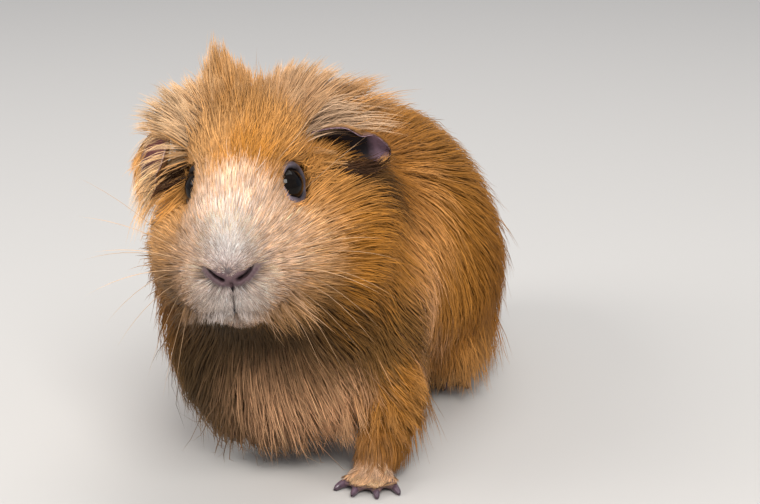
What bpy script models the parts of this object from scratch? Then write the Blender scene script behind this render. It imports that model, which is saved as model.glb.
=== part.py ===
"""Guinea pig, standing, with its head turned a little to its left: a life-size still model in solids.

The animal faces -Y, its left side is +X and it stands on z = 0. The surfaces are those of the coat, out to
the tips of the hair. Its forms are named masses, ellipsoids and tapered limbs, that are fused, smoothed and
parted with thin cuts into head, neck, trunk, rump, legs and feet. Lengths are in millimetres, and MM turns
them into metres where a mesh is made.
"""

import math

import bmesh
import bpy
from mathutils import Euler, Matrix, Vector

MM = 0.001
GAP = 0.3  # clear space between neighbouring pieces
CELL_REACH = 400.0  # longer than the animal, for cutters that have to pass right through it

# --- Pose ---------------------------------------------------------------------------------------------
EYE_LEVEL = 98.9  # height of the point midway between the eyes
HEAD_AT = Vector((2.7, -93.3, EYE_LEVEL))
HEAD_TURN, HEAD_ROLL, HEAD_PITCH = 11.7, -3.7, 0.0  # degrees: to its left, left side up, nose down
HEAD = Matrix.Translation(HEAD_AT) @ Euler(
    (math.radians(HEAD_PITCH), math.radians(HEAD_ROLL), math.radians(HEAD_TURN)), "XYZ"
).to_matrix().to_4x4()
BODY = Matrix.Identity(4)

# --- Masses of the trunk: centre, reach to the sides, to front and back, up and down, and tilt about X -----
TRUNK_MASSES = (
    ((-1, -36, 58), (45, 38, 53, 42), 0),  # shoulders
    ((0, -12, 54), (47, 44, 53, 40), 0),  # back of the shoulders
    ((0, 14, 42), (52, 56, 61, 30), 0),  # barrel
    ((-4, 38, 36), (49, 48, 59, 25), 0),  # loins
    ((-9, 60, 33), (45, 46, 60, 23), 0),  # rump
    ((-3, -57, 52), (37, 28, 40, 47.5), 0),  # chest
    ((3, -60, 80), (38, 32, 37, 36), 0),  # neck
    ((24, 42, 36), (19, 34, 34, 28), 0),  # left haunch
    ((-37, 42, 36), (19, 34, 34, 28), 0),  # right haunch
    ((25, 22, 30), (18, 34, 24, 21), 0),  # hem of the coat before the left knee
    ((-34, 22, 30), (18, 34, 24, 21), 0),  # hem of the coat before the right knee
)

# --- Masses of the head, in its frame: x to its left, -y to the nose, z up, from between the eyes ----------
HEAD_MASSES = (
    ((0, 15, 3), (21, 25, 19, 19), 0),  # cranium
    ((0, 1, 5), (15, 14, 10, 10), 0),  # brow
    ((0, -10, -1), (13, 26, 14, 12), 23),  # bridge of the nose
    ((0, -18, -15), (14, 15, 12, 13), 0),  # muzzle
    ((9, -8, -20), (13, 19, 14, 14), 0),  # left whisker pad
    ((-9, -8, -20), (13, 19, 14, 14), 0),  # right whisker pad
    ((13, 5, -20), (17, 22, 17, 18), 0),  # left cheek
    ((-13, 5, -20), (17, 22, 17, 18), 0),  # right cheek
    ((20, 24, -27), (22, 24, 29, 27), 0),  # left jowl
    ((-15, 24, -27), (21, 24, 29, 27), 0),  # right jowl
    ((0, 12, -30), (22, 25, 15, 20), 0),  # throat
    ((0, 30, 0), (29, 26, 20, 20), 0),  # nape
)
FACE_MASSES = (
    ((0, -30.5, -14), (7.5, 4.5, 5.5, 6), 0),  # nose
    ((0, -26, -20), (6, 6, 6, 8), 0),  # groove under the nose
    ((6, -24, -22), (9.5, 8.5, 10, 11), 0),  # left upper lip
    ((-6, -24, -22), (9.5, 8.5, 10, 11), 0),  # right upper lip
    ((0, -16, -31), (9, 9, 7, 7), 0),  # chin
)

# --- Crest: hair that stands up on the crown, as tapered tufts from root to tip, in the head's frame --------
CREST_TUFTS = (
    ((-5, 13, 15), 14, (-8.5, 15, 37), 3.0),  # the tall tuft
    ((9, 14, 16), 12, (13, 16, 27), 6.0),  # the peak beside the parting
    ((12, 17, 16), 13, (22, 22, 24), 8.0),  # fan over the left ear
    ((22, 22, 25), 8, (33, 30, 17), 6.0),  # its sweep back to the neck
    ((-12, 17, 14), 13, (-24, 20, 20), 8.0),  # fan over the right ear
)

# --- Eyes ----------------------------------------------------------------------------------------------------
EYE_RADIUS = 5.6
EYE_CENTRE = Vector((11.6, 1.6, -1.1))  # the left one, in the head's frame
EYE_OUTWARD = Vector((0.89, -0.37, 0.26))  # the way it looks
SOCKET_RADIUS, SOCKET_MOUTH_RADIUS, SOCKET_DEPTH = 4.6, 9.5, 9.0  # the hollow in the coat round the eye
LID_AT, LID_RADIUS, LID_THICKNESS = 3.0, 5.5, 1.5  # the rim of the lids, a ring about the way it looks

# --- Ears: a cupped petal from its root, in the head's frame ---------------------------------------------
EAR_LENGTH, EAR_WIDTH, EAR_THICKNESS = 24.0, 21.0, 1.8
EAR_CUP, EAR_DROOP = 5.0, 4.0  # how far the edges and the tip curl
EAR_STEPS_ALONG, EAR_STEPS_ACROSS = 7, 6
EARS = {  # root, the way it points, the way its root line runs
    "ear_left": ((17, 19, 7), (0.96, 0.22, 0.10), (0.05, 0.45, -0.88)),
    "ear_right": ((-22, 14, 12), (-0.27, -0.12, -0.95), (-0.70, 0.70, 0.10)),
}

# --- Legs: joints as (point, radius) from the top down, in the body's frame -------------------------------
FORELEGS = {
    "left": (((28, -42, 54), 16), ((33, -45, 34), 12.5), ((32, -54, 15), 8.5), ((31, -58, 5.2), 6.8)),
    "right": (((-28, -36, 54), 16), ((-29, -24, 33), 12.5), ((-21, -25, 14), 8.5), ((-18, -27, 5.2), 6.8)),
}
HINDLEGS = {
    "left": (((25, 50, 30), 17), ((26, 68, 16), 11), ((27, 68, 6), 6.5), ((27, 48, 5), 6.5)),
    "right": (((-38, 50, 30), 17), ((-37, 68, 16), 11), ((-37, 68, 6), 6.5), ((-38, 48, 5), 6.5)),
}

# --- Feet: toes fan out from the ball of the foot --------------------------------------------------------
TOE_RADIUS, TOE_TIP_RADIUS, TOE_HEIGHT = 2.8, 2.1, 1.7
FEET = {  # ball of the foot, heading from -Y in degrees, number of toes, fan in degrees, toe length
    "fore_left": ((31, -60, 4.5), 8, 4, 78, 11.0),
    "fore_right": ((-18, -28, 4.5), -4, 4, 78, 11.0),
    "hind_left": ((27, 43, 4.5), 6, 3, 50, 14.0),
    "hind_right": ((-38, 43, 4.5), -8, 3, 50, 14.0),
}
CLAW_LENGTH, CLAW_RADIUS, CLAW_TIP_RADIUS, CLAW_STEPS, CLAW_SIDES = 5.5, 1.15, 0.45, 2, 6
CLAW_DROP = 1.2  # how far a claw's tip hangs below its root

# --- Cuts: boxes that take each piece from what is left, in this order: centre, size, frame ---------------
CELLS = (
    ("forefoot_left", (31, -62, 0), (34, 44, 18), BODY),
    ("forefoot_right", (-18, -26, 0), (32, 32, 18), BODY),
    ("hindfoot_left", (27, 57, 0), (34, 64, 18), BODY),
    ("hindfoot_right", (-38, 57, 0), (34, 64, 18), BODY),
    ("foreleg_left", (42, -48, 18), (40, 50, 40), BODY),
    ("foreleg_right", (-35, -28, 18), (46, 44, 40), BODY),
    ("hindleg_left", (38, 52, 18), (50, 60, 44), BODY),
    ("hindleg_right", (-49, 52, 18), (50, 60, 44), BODY),
    ("head", (0, 28 - CELL_REACH / 2, CELL_REACH / 2 - 46), (CELL_REACH,) * 3, HEAD),
    ("neck", (0, -40 - CELL_REACH / 2, CELL_REACH / 2 + 50), (CELL_REACH,) * 3, BODY),
    ("chest", (0, -46 - CELL_REACH / 2, 0), (CELL_REACH,) * 3, BODY),
    ("rump", (0, 48 + CELL_REACH / 2, 60), (CELL_REACH,) * 3, BODY),
)
REST = "trunk"  # what the cuts leave

# --- Fineness --------------------------------------------------------------------------------------------------
ROUGH_VOXEL, FINE_VOXEL = 2.4, 1.3
ROUGH_SMOOTHING, FINE_SMOOTHING = 26, 4
BODY_TRIANGLES, CREST_TRIANGLES = 3900, 280
SPHERE_SEGMENTS, SPHERE_RINGS = 36, 20
TAPER_SIDES, TAPER_RINGS, LID_STEPS = 24, 6, 12

# --- Materials: colour, roughness --------------------------------------------------------------------------
COAT = ("coat", (0.56, 0.29, 0.10), 0.75)
FACE_COAT = ("face_coat", (0.66, 0.44, 0.25), 0.75)
EAR_SKIN = ("ear_skin", (0.16, 0.10, 0.10), 0.55)
FOOT_SKIN = ("foot_skin", (0.42, 0.27, 0.18), 0.65)
EYE = ("eye", (0.012, 0.008, 0.008), 0.08)
CLAW = ("claw", (0.12, 0.09, 0.09), 0.40)


def clear_scene():
    for obj in list(bpy.data.objects):
        bpy.data.objects.remove(obj)


def material(name, colour, roughness):
    found = bpy.data.materials.get(name)
    if found:
        return found
    made = bpy.data.materials.new(name)
    made.use_nodes = True
    shader = made.node_tree.nodes["Principled BSDF"]
    shader.inputs["Base Color"].default_value = (*colour, 1.0)
    shader.inputs["Roughness"].default_value = roughness
    return made


def add_object(name, mesh):
    obj = bpy.data.objects.new(name, mesh)
    bpy.context.scene.collection.objects.link(obj)
    return obj


def from_bmesh(name, bm):
    mesh = bpy.data.meshes.new(name)
    bm.to_mesh(mesh)
    bm.free()
    return add_object(name, mesh)


def bake(obj):
    """Replaces the object's mesh by the one that its modifiers make."""
    graph = bpy.context.evaluated_depsgraph_get()
    mesh = bpy.data.meshes.new_from_object(obj.evaluated_get(graph))
    obj.modifiers.clear()
    obj.data = mesh
    return obj


def copy_of(obj, name):
    return add_object(name, obj.data.copy())


def boolean(target, cutter, operation):
    modifier = target.modifiers.new(operation.lower(), "BOOLEAN")
    modifier.operation = operation
    modifier.object = cutter
    modifier.solver = "EXACT"
    return bake(target)


def inflated(obj, by):
    """A copy of the object whose surface stands out by that many millimetres."""
    made = copy_of(obj, obj.name + "_inflated")
    modifier = made.modifiers.new("inflate", "DISPLACE")
    modifier.strength = by * MM
    modifier.mid_level = 0.0
    return bake(made)


def cut_clear(target, neighbour):
    """Cuts the target back so that it meets its neighbour with the gap between them."""
    cutter = inflated(neighbour, GAP)
    boolean(target, cutter, "DIFFERENCE")
    bpy.data.objects.remove(cutter)
    return target


def add_mass(bm, centre, reach, tilt, frame):
    """An egg: an ellipsoid that reaches up and down by different lengths from its widest level."""
    to_side, to_end, up, down = reach
    place = (
        Matrix.Scale(MM, 4)
        @ frame
        @ Matrix.Translation(Vector(centre))
        @ Matrix.Rotation(math.radians(tilt), 4, "X")
    )
    made = bmesh.ops.create_uvsphere(
        bm, u_segments=SPHERE_SEGMENTS, v_segments=SPHERE_RINGS, radius=1.0
    )
    for vert in made["verts"]:
        x, y, z = vert.co
        vert.co = place @ Vector((x * to_side, y * to_end, z * (up if z > 0 else down)))


def add_rings(bm, rings):
    """A closed tube through rings of points, with a flat face at each end."""
    rows = [[bm.verts.new(point) for point in ring] for ring in rings]
    for row, following in zip(rows, rows[1:]):
        for k in range(len(row)):
            after = (k + 1) % len(row)
            bm.faces.new((row[k], row[after], following[after], following[k]))
    bm.faces.new(reversed(rows[0]))
    bm.faces.new(rows[-1])


def ring(centre, radius, side, up, count):
    """Points round a circle whose plane is that of the two directions."""
    angles = [2 * math.pi * k / count for k in range(count)]
    return [centre + (side * math.cos(a) + up * math.sin(a)) * radius for a in angles]


def add_taper(bm, start, start_radius, end, end_radius, frame):
    """One segment of a limb, toe or tuft: round at both ends, with its own radius at each."""
    start, end = Vector(start), Vector(end)
    along = (end - start).normalized()
    side = along.orthogonal().normalized()
    up = along.cross(side)
    lean = math.asin((start_radius - end_radius) / (end - start).length)
    rings = []
    for centre, radius, first, last in (
        (start, start_radius, -0.5 * math.pi, lean),
        (end, end_radius, lean, 0.5 * math.pi),
    ):
        for i in range(TAPER_RINGS):
            share = (i + 0.5) / TAPER_RINGS
            angle = first + (last - first) * share
            middle = centre + along * (radius * math.sin(angle))
            points = ring(middle, radius * math.cos(angle), side, up, TAPER_SIDES)
            rings.append([(frame @ point) * MM for point in points])
    add_rings(bm, rings)


def fused(name, bm, voxel, smoothing, triangles=None):
    """One closed surface round everything in the mesh, smoothed, and thinned to about that many triangles."""
    obj = from_bmesh(name, bm)
    remesh = obj.modifiers.new("fuse", "REMESH")
    remesh.mode = "VOXEL"
    remesh.voxel_size = voxel * MM
    smooth = obj.modifiers.new("smooth", "SMOOTH")
    smooth.factor = 0.5
    smooth.iterations = smoothing
    bake(obj)
    if triangles:
        thin(obj, triangles)
    return obj


def thin(obj, triangles):
    modifier = obj.modifiers.new("thin", "DECIMATE")
    modifier.ratio = triangles / (2 * len(obj.data.polygons))
    return bake(obj)


def toe_lines(foot):
    """(root, tip, direction) of each toe of a foot, fanned about its heading."""
    ball, heading, count, fan, length = FEET[foot]
    lines = []
    for i in range(count):
        share = i / (count - 1) - 0.5
        angle = math.radians(heading + fan * share)
        along = Vector((math.sin(angle), -math.cos(angle), 0.0))
        reach = length * (1.0 - 0.35 * abs(share) ** 1.5)  # the middle toes are the longest
        root = Vector(ball)
        tip = Vector((*(root + along * reach).xy, TOE_HEIGHT))
        lines.append((root, tip, along))
    return lines


def eye_axes(side):
    """The centre of an eye and the way it looks, in the head's frame."""
    flip = Vector((side, 1, 1))
    return EYE_CENTRE * flip, (EYE_OUTWARD * flip).normalized()


def hollow_sockets(body):
    """Opens the coat round both eyes."""
    for side in (1, -1):
        centre, outward = eye_axes(side)
        bm = bmesh.new()
        mouth = centre + outward * SOCKET_DEPTH
        add_taper(bm, mouth, SOCKET_MOUTH_RADIUS, centre, SOCKET_RADIUS, HEAD)
        cutter = from_bmesh("socket", bm)
        boolean(body, cutter, "DIFFERENCE")
        bpy.data.objects.remove(cutter)


def add_lid(bm, side):
    """The rim of the lids, as a ring of short tapers round the eye."""
    centre, outward = eye_axes(side)
    across = outward.cross(Vector((0, 0, 1))).normalized()
    points = ring(centre + outward * LID_AT, LID_RADIUS, across, outward.cross(across), LID_STEPS)
    for point, following in zip(points, points[1:] + points[:1]):
        add_taper(bm, point, LID_THICKNESS, following, LID_THICKNESS, HEAD)


def body_masses():
    """The flesh and coat of the whole animal but its ears and crest, fused into one mesh."""
    rough = bmesh.new()
    for centre, reach, tilt in TRUNK_MASSES:
        add_mass(rough, centre, reach, tilt, BODY)
    for centre, reach, tilt in HEAD_MASSES:
        add_mass(rough, centre, reach, tilt, HEAD)
    body = fused("body", rough, ROUGH_VOXEL, ROUGH_SMOOTHING)
    hollow_sockets(body)
    fine = bmesh.new()
    fine.from_mesh(body.data)
    bpy.data.objects.remove(body)
    for side in (1, -1):
        add_lid(fine, side)
    for centre, reach, tilt in FACE_MASSES:
        add_mass(fine, centre, reach, tilt, HEAD)
    for joints in (*FORELEGS.values(), *HINDLEGS.values()):
        for (start, start_radius), (end, end_radius) in zip(joints, joints[1:]):
            add_taper(fine, start, start_radius, end, end_radius, BODY)
    for foot in FEET:
        for root, tip, _ in toe_lines(foot):
            add_taper(fine, root, TOE_RADIUS, tip, TOE_TIP_RADIUS, BODY)
    return fused("body", fine, FINE_VOXEL, FINE_SMOOTHING, BODY_TRIANGLES)


def box(name, centre, size, frame):
    bm = bmesh.new()
    place = frame @ Matrix.Translation(Vector(centre)) @ Matrix.Diagonal((*size, 1.0))
    bmesh.ops.create_cube(bm, size=1.0, matrix=Matrix.Scale(MM, 4) @ place)
    return from_bmesh(name, bm)


def stand_flat(body):
    """Cuts the soles flat at floor level."""
    floor = box("floor_cutter", (0, 0, -CELL_REACH / 2), (CELL_REACH,) * 3, BODY)
    boolean(body, floor, "DIFFERENCE")
    bpy.data.objects.remove(floor)


def part_body(body):
    """Parts the body into its named pieces, each with the gap round it."""
    pieces = {}
    for name, centre, size, frame in CELLS:
        cell = box("cell", centre, size, frame)
        pieces[name] = boolean(copy_of(body, name), cell, "INTERSECT")
        bpy.data.objects.remove(cell)
        wider = box("cell", centre, [side + 2 * GAP for side in size], frame)
        boolean(body, wider, "DIFFERENCE")
        bpy.data.objects.remove(wider)
    body.name = REST
    pieces[REST] = body
    return pieces


def make_crest(body):
    """The hair of the crown, from the head's surface up."""
    bm = bmesh.new()
    for root, root_radius, tip, tip_radius in CREST_TUFTS:
        add_taper(bm, root, root_radius, tip, tip_radius, HEAD)
    crest = fused("crest", bm, FINE_VOXEL, FINE_SMOOTHING, CREST_TRIANGLES)
    return cut_clear(crest, body)


def ear_point(along, across, width_share):
    """A point of the petal's middle surface, in its own axes: out from the root, along the root line, and
    towards its hollow side. along runs from 0 at the root to 1 at the tip, across from -1 to 1."""
    x = EAR_LENGTH * along
    y = 0.5 * EAR_WIDTH * width_share * across
    z = EAR_CUP * (across * width_share) ** 2 * (0.35 + 0.65 * along) + EAR_DROOP * along**2
    return Vector((x, y, z))


def make_ear(name, body, crest):
    """A cupped petal, round at its tip, that meets the head and the crest."""
    root, outward, root_line = (Vector(v) for v in EARS[name])
    outward = outward.normalized()
    root_line = (root_line - outward * root_line.dot(outward)).normalized()
    hollow = outward.cross(root_line)
    if hollow.y > 0:  # the hollow side faces forward
        hollow.negate()
    axes = Matrix((outward, root_line, hollow)).transposed().to_4x4()
    frame = Matrix.Scale(MM, 4) @ HEAD @ Matrix.Translation(root) @ axes
    bm = bmesh.new()
    rows = []
    for i in range(EAR_STEPS_ALONG + 1):
        along = i / EAR_STEPS_ALONG
        share = math.sqrt(max(1.0 - along**3.2, 0.03))
        steps = range(EAR_STEPS_ACROSS + 1)
        points = [ear_point(along, 2 * j / EAR_STEPS_ACROSS - 1, share) for j in steps]
        rows.append([bm.verts.new(frame @ point) for point in points])
    for row, following in zip(rows, rows[1:]):
        for j in range(EAR_STEPS_ACROSS):
            bm.faces.new((row[j], row[j + 1], following[j + 1], following[j]))
    ear = from_bmesh(name, bm)
    thicken = ear.modifiers.new("thicken", "SOLIDIFY")
    thicken.thickness = EAR_THICKNESS * MM
    thicken.offset = 0.0
    bake(ear)
    cut_clear(ear, body)
    return cut_clear(ear, crest)


def make_eye(name, side):
    """The eyeball, a sphere in the head's socket."""
    centre = HEAD @ eye_axes(side)[0]
    bm = bmesh.new()
    place = Matrix.Scale(MM, 4) @ Matrix.Translation(centre)
    bmesh.ops.create_icosphere(bm, subdivisions=3, radius=EYE_RADIUS, matrix=place)
    return from_bmesh(name, bm)


def make_claw(name, tip, along, body):
    """A tapered claw that curves down from the end of its toe, as a stack of rings."""
    bm = bmesh.new()
    side, up = Vector((-along.y, along.x, 0.0)), Vector((0, 0, 1))
    start = tip - along * TOE_TIP_RADIUS
    reach = CLAW_LENGTH + TOE_TIP_RADIUS
    rings = []
    for i in range(CLAW_STEPS + 1):
        share = i / CLAW_STEPS
        centre = start + along * (reach * share) - up * (CLAW_DROP * share**2)
        radius = CLAW_RADIUS + (CLAW_TIP_RADIUS - CLAW_RADIUS) * share
        rings.append([point * MM for point in ring(centre, radius, side, up, CLAW_SIDES)])
    add_rings(bm, rings)
    bmesh.ops.recalc_face_normals(bm, faces=bm.faces)
    return cut_clear(from_bmesh(name, bm), body)


def finish(obj, look):
    obj.data.materials.clear()
    obj.data.materials.append(material(*look))
    obj.data.shade_smooth()
    obj.data.set_sharp_from_angle(angle=math.radians(40))


def stand_on_origin(objects):
    """Moves all pieces so that the middle of the model's box is over the origin and its soles are at z = 0."""
    corners = [v.co for obj in objects for v in obj.data.vertices]
    low = Vector([min(c[i] for c in corners) for i in range(3)])
    high = Vector([max(c[i] for c in corners) for i in range(3)])
    shift = Matrix.Translation((-(low.x + high.x) / 2, -(low.y + high.y) / 2, -low.z))
    for obj in objects:
        obj.data.transform(shift)


def main():
    clear_scene()
    body = body_masses()
    stand_flat(body)
    crest = make_crest(body)
    ears = [make_ear(name, body, crest) for name in EARS]
    claws = [
        make_claw(f"claw_{foot}_{number}", tip, along, body)
        for foot in FEET
        for number, (_, tip, along) in enumerate(toe_lines(foot), 1)
    ]
    eyes = [make_eye("eye_left", 1), make_eye("eye_right", -1)]
    pieces = part_body(body)
    for eye in eyes:
        cut_clear(pieces["head"], eye)
    for name, piece in pieces.items():
        finish(piece, FACE_COAT if name == "head" else FOOT_SKIN if "foot" in name else COAT)
    finish(crest, COAT)
    for look, objects in ((EAR_SKIN, ears), (CLAW, claws), (EYE, eyes)):
        for obj in objects:
            finish(obj, look)
    stand_on_origin([*pieces.values(), crest, *ears, *claws, *eyes])


main()
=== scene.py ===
# A ginger guinea pig with a cream blaze and a rough crest: one skin, its eyes and claws, and a coat of
# solid hairs over it. Sizes are in millimetres until a mesh is written, and the frame is the CAD's.
from math import cos, pi, radians, sin, sqrt

import bmesh
import bpy
import numpy as np
from mathutils import Euler, Matrix, Vector
from mathutils.bvhtree import BVHTree
from mathutils.kdtree import KDTree


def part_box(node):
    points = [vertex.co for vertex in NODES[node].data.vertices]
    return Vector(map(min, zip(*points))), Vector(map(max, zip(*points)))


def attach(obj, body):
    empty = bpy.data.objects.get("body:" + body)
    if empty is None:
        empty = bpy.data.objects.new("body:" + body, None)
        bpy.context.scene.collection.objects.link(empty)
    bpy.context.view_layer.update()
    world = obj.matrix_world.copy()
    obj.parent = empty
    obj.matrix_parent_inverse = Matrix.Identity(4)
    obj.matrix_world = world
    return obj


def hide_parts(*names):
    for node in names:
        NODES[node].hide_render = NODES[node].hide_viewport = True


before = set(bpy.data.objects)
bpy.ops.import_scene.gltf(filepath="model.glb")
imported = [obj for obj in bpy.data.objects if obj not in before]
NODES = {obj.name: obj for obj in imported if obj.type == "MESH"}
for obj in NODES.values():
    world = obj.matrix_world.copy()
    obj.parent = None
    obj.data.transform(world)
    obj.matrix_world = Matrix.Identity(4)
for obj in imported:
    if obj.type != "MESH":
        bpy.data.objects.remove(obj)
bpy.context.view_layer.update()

MM = 0.001
CLAWS = [name for name in NODES if name.startswith("claw_")]
SIDES = ("left", "right")
rng = np.random.default_rng(20)


# ------------------------------------------------------------------ frames


def unit(v):
    """Vectors of length one, along the last axis."""
    v = np.asarray(v, float)
    return v / np.maximum(np.linalg.norm(v, axis=-1, keepdims=True), 1e-9)


def middle(node):
    """The middle of a CAD node's box."""
    low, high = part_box(node)
    return (np.array(low) + np.array(high)) / 2 / MM


EYE_LEFT, EYE_RIGHT = middle("eye_left"), middle("eye_right")
EYES_MIDDLE = (EYE_LEFT + EYE_RIGHT) / 2
EYE_RADIUS = 5.6
# The head is turned to its left and tilted a little: x is its left, -y its nose and z its crown.
HEAD_TILT, HEAD_TURN, EYES_FROM_HEAD = radians(-3.7), radians(11.7), (0, 1.6, -1.1)
HEAD = np.array(Euler((0, HEAD_TILT, HEAD_TURN), "XYZ").to_matrix())
HEAD_AT = EYES_MIDDLE - HEAD @ np.array(EYES_FROM_HEAD)


def to_head(p):
    """Places of the row frame, in the head's frame."""
    return (np.asarray(p, float) - HEAD_AT) @ HEAD


def from_head(p):
    """Places of the head's frame, in the row frame."""
    return np.asarray(p, float) @ HEAD.T + HEAD_AT


def turned(v):
    """A direction of the head's frame, in the row frame."""
    return np.asarray(v, float) @ HEAD.T


def off_axis(p, x, y, z):
    """How far places of the row frame are from a place of the head's frame."""
    return np.linalg.norm(to_head(p) - np.array([x, y, z]), axis=1)


def along_skin(way, normals):
    """Directions laid down at right angles to the normals."""
    return unit(way - normals * (way * normals).sum(1, keepdims=True))


def bell(x, width):
    return np.exp(-(x / width) ** 2)


def clamp(x):
    return np.clip(x, 0, 1)


# ------------------------------------------------------------------ camera and light

VIEW_TURN, VIEW_DOWN, VIEW_FAR = radians(18), radians(16), 0.6
VIEW_RIGHT, VIEW_UP = 0.0388, -0.0185  # from the eyes' middle to the middle of the frame, in metres
FOCAL_PX, PHOTO_WIDTH, SENSOR = 2105, 760, 36
LIGHTS_AIM = (0, 0, 0.07)
FLOOR_HALF = 4


def make_camera():
    """The photo's view of the animal."""
    level = cos(VIEW_DOWN)
    forward = Vector((-sin(VIEW_TURN) * level, cos(VIEW_TURN) * level, -sin(VIEW_DOWN)))
    right = Vector((cos(VIEW_TURN), sin(VIEW_TURN), 0))
    up = right.cross(forward)
    place = Vector(EYES_MIDDLE * MM) - VIEW_FAR * forward + VIEW_RIGHT * right + VIEW_UP * up
    data = bpy.data.cameras.new("camera")
    data.sensor_width, data.lens = SENSOR, FOCAL_PX * SENSOR / PHOTO_WIDTH
    data.clip_start, data.clip_end = 0.01, 50
    camera = bpy.data.objects.new("camera", data)
    turn = Matrix((right, up, -forward)).transposed().to_4x4()
    camera.matrix_world = Matrix.Translation(place) @ turn
    bpy.context.scene.collection.objects.link(camera)
    bpy.context.scene.camera = camera


def soft_light(name, place, size, watts, tint):
    """A square soft box that faces the animal."""
    data = bpy.data.lights.new(name, "AREA")
    data.size, data.energy, data.color = size, watts, tint
    lamp = bpy.data.objects.new(name, data)
    lamp.location = place
    aim = Vector(LIGHTS_AIM) - Vector(place)
    lamp.rotation_euler = aim.to_track_quat("-Z", "Y").to_euler()
    bpy.context.scene.collection.objects.link(lamp)


def make_studio():
    """A pale floor, an even sky and three soft boxes."""
    scene = bpy.context.scene
    world = bpy.data.worlds.new("studio")
    scene.world = world
    world.use_nodes = True
    sky = world.node_tree.nodes["Background"]
    sky.inputs["Color"].default_value, sky.inputs["Strength"].default_value = (0.90, 0.93, 1.0, 1), 0.55
    scene.view_settings.view_transform = "Standard"
    soft_light("key", (0.50, -0.95, 0.95), 0.5, 17, (1, 0.97, 0.93))
    soft_light("top", (0.15, 0.30, 1.25), 0.8, 7, (1, 0.98, 0.95))
    soft_light("fill", (-0.8, -0.55, 0.8), 0.7, 8, (1, 0.98, 0.95))
    floor = bpy.data.meshes.new("floor")
    corners = [(x * FLOOR_HALF, y * FLOOR_HALF, 0) for x, y in ((-1, -1), (1, -1), (1, 1), (-1, 1))]
    floor.from_pydata(corners, [], [(0, 1, 2, 3)])
    floor = bpy.data.objects.new("floor", floor)
    scene.collection.objects.link(floor)
    mat = bpy.data.materials.new("floor")
    mat.use_nodes = True
    shader = mat.node_tree.nodes["Principled BSDF"]
    shader.inputs["Base Color"].default_value = (0.50, 0.485, 0.465, 1)
    shader.inputs["Roughness"].default_value = 0.9
    floor.data.materials.append(mat)


# ------------------------------------------------------------------ colours and fields over the body


def linear(rgb):
    """A colour written as screen values 0 to 255, as light."""
    c = np.asarray(rgb, float) / 255
    return np.where(c <= 0.04045, c / 12.92, ((c + 0.055) / 1.055) ** 2.4)  # the sRGB curve


GINGER = linear((206, 136, 46))
DEEP_GINGER = linear((174, 108, 20))
# Dark brown fur; the markings below also use it for painted shade.
BROWN = linear((110, 75, 30))
# Painted shade: a dark olive brown that stands for the shade under the chin, jaw and ears, down the throat and
# on the chest, over fur that is darker there too.
PAINTED_SHADE = linear((64, 46, 21))
GOLD = linear((226, 166, 100))
ROSE = linear((216, 162, 120))
CREAM = linear((240, 206, 180))
WHITE = linear((246, 236, 230))
ASH = linear((218, 205, 198))
STREAK = linear((208, 148, 90))
MAUVE = linear((190, 166, 168))
TAN = linear((214, 174, 142))
PALE_TIP = linear((236, 198, 154))
NOSE_SKIN = linear((92, 70, 74))
DARK_SKIN = linear((122, 104, 116))
EYE_SKIN = linear((124, 111, 122))
PINK_SKIN = linear((168, 128, 118))
RIGHT_EAR_RIM = linear((176, 146, 138))
RIGHT_EAR_SKIN = linear((146, 92, 92))
FOOT_SKIN = linear((120, 92, 88))
TOE_SKIN = linear((98, 74, 80))


def both(x, *rest):
    """A station and its mirror image."""
    return [(x, *rest), (-x, *rest)]


# Stations in the head's frame and in the row frame: place, reach, then what holds there. A point takes a
# mean of them, nearest first. Depth of the coat and length of its hair:
COAT_HEAD = [
    (0.9, -33, -17, 4, 0.25, 1.3), (0.9, -32.5, -14, 2, 0.4, 2), (8, -28, -21, 5, 1.1, 4.4),
    (-7, -28, -21, 5, 1.1, 4.4), (13, -24, -25, 6, 1.8, 8), (-12, -24, -25, 6, 1.8, 8),
    (0, -28, -26, 5, 0.8, 3.2), (0, -26, -31, 4, 0.5, 1.8), (9, -24, -32, 5, 1.3, 7.5),
    (-8, -24, -32, 5, 1.3, 7.5), (0, -22, -36, 4, 0.6, 3), (0, -14, -38, 7, 1.8, 8),
    (0.5, -31, -9, 4, 0.8, 3),
    (0, -24, 0, 7, 1.4, 5.6), *both(8, -24, -9, 6, 1.5, 5.8), (0, -12, 9, 7, 1.7, 6), (0, -4, 14, 7, 2.2, 9),
    *both(8, -2, 13, 6, 2, 9), *both(12, -3, 0, 5, 0.9, 3.4), *both(17, -2, 9, 6, 1.4, 6),
    *both(18, -10, -12, 8, 2.2, 9), *both(18, -10, -28, 8, 2.8, 12), (0, 5, 17, 8, 2.8, 14),
    (0, 16, 20, 10, 3.4, 19), (25, 8, -14, 11, 4.2, 18), (-23, 8, -14, 11, 4.2, 18), (26, 20, -30, 15, 6, 26),
    (-22, 20, -30, 15, 6, 26), (0, 6, -42, 12, 4.5, 16), (0, 34, 12, 16, 6, 26),
]
COAT_ROW = [
    (0, -30, 90, 25, 7, 27), (0, 20, 100, 35, 7, 28), (0, 80, 70, 35, 7, 30), (45, 0, 55, 30, 7, 28),
    (-48, 0, 55, 30, 7, 28), (35, 80, 45, 30, 7, 30), (-42, 80, 45, 30, 7, 30), (0, -62, 35, 22, 6.5, 23),
    (4, -62, 16, 10, 6, 18), (0, 10, 14, 30, 4, 18), (0, 105, 30, 25, 7, 28), (36, -48, 26, 9, 3.2, 18),
    (-18, -18, 24, 10, 2.8, 15), (34, -51, 15, 6, 2.4, 13), (44, 36, 15, 10, 5, 30), (42, 60, 15, 12, 5, 30),
    (34, -50, 7, 6, 1, 6), (-17, -18, 7, 6, 1, 6), (34, -59, 3, 6, 0.5, 4), (-20, -27, 3, 6, 0.5, 4),
    (30, 72, 22, 9, 2.8, 11), (-36, 72, 22, 9, 2.8, 11), (29, 60, 4, 9, 0.7, 3.2), (29, 76, 4, 9, 0.7, 3.2),
    (-36, 60, 4, 9, 0.7, 3.2), (-36, 76, 4, 9, 0.7, 3.2),
]

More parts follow.
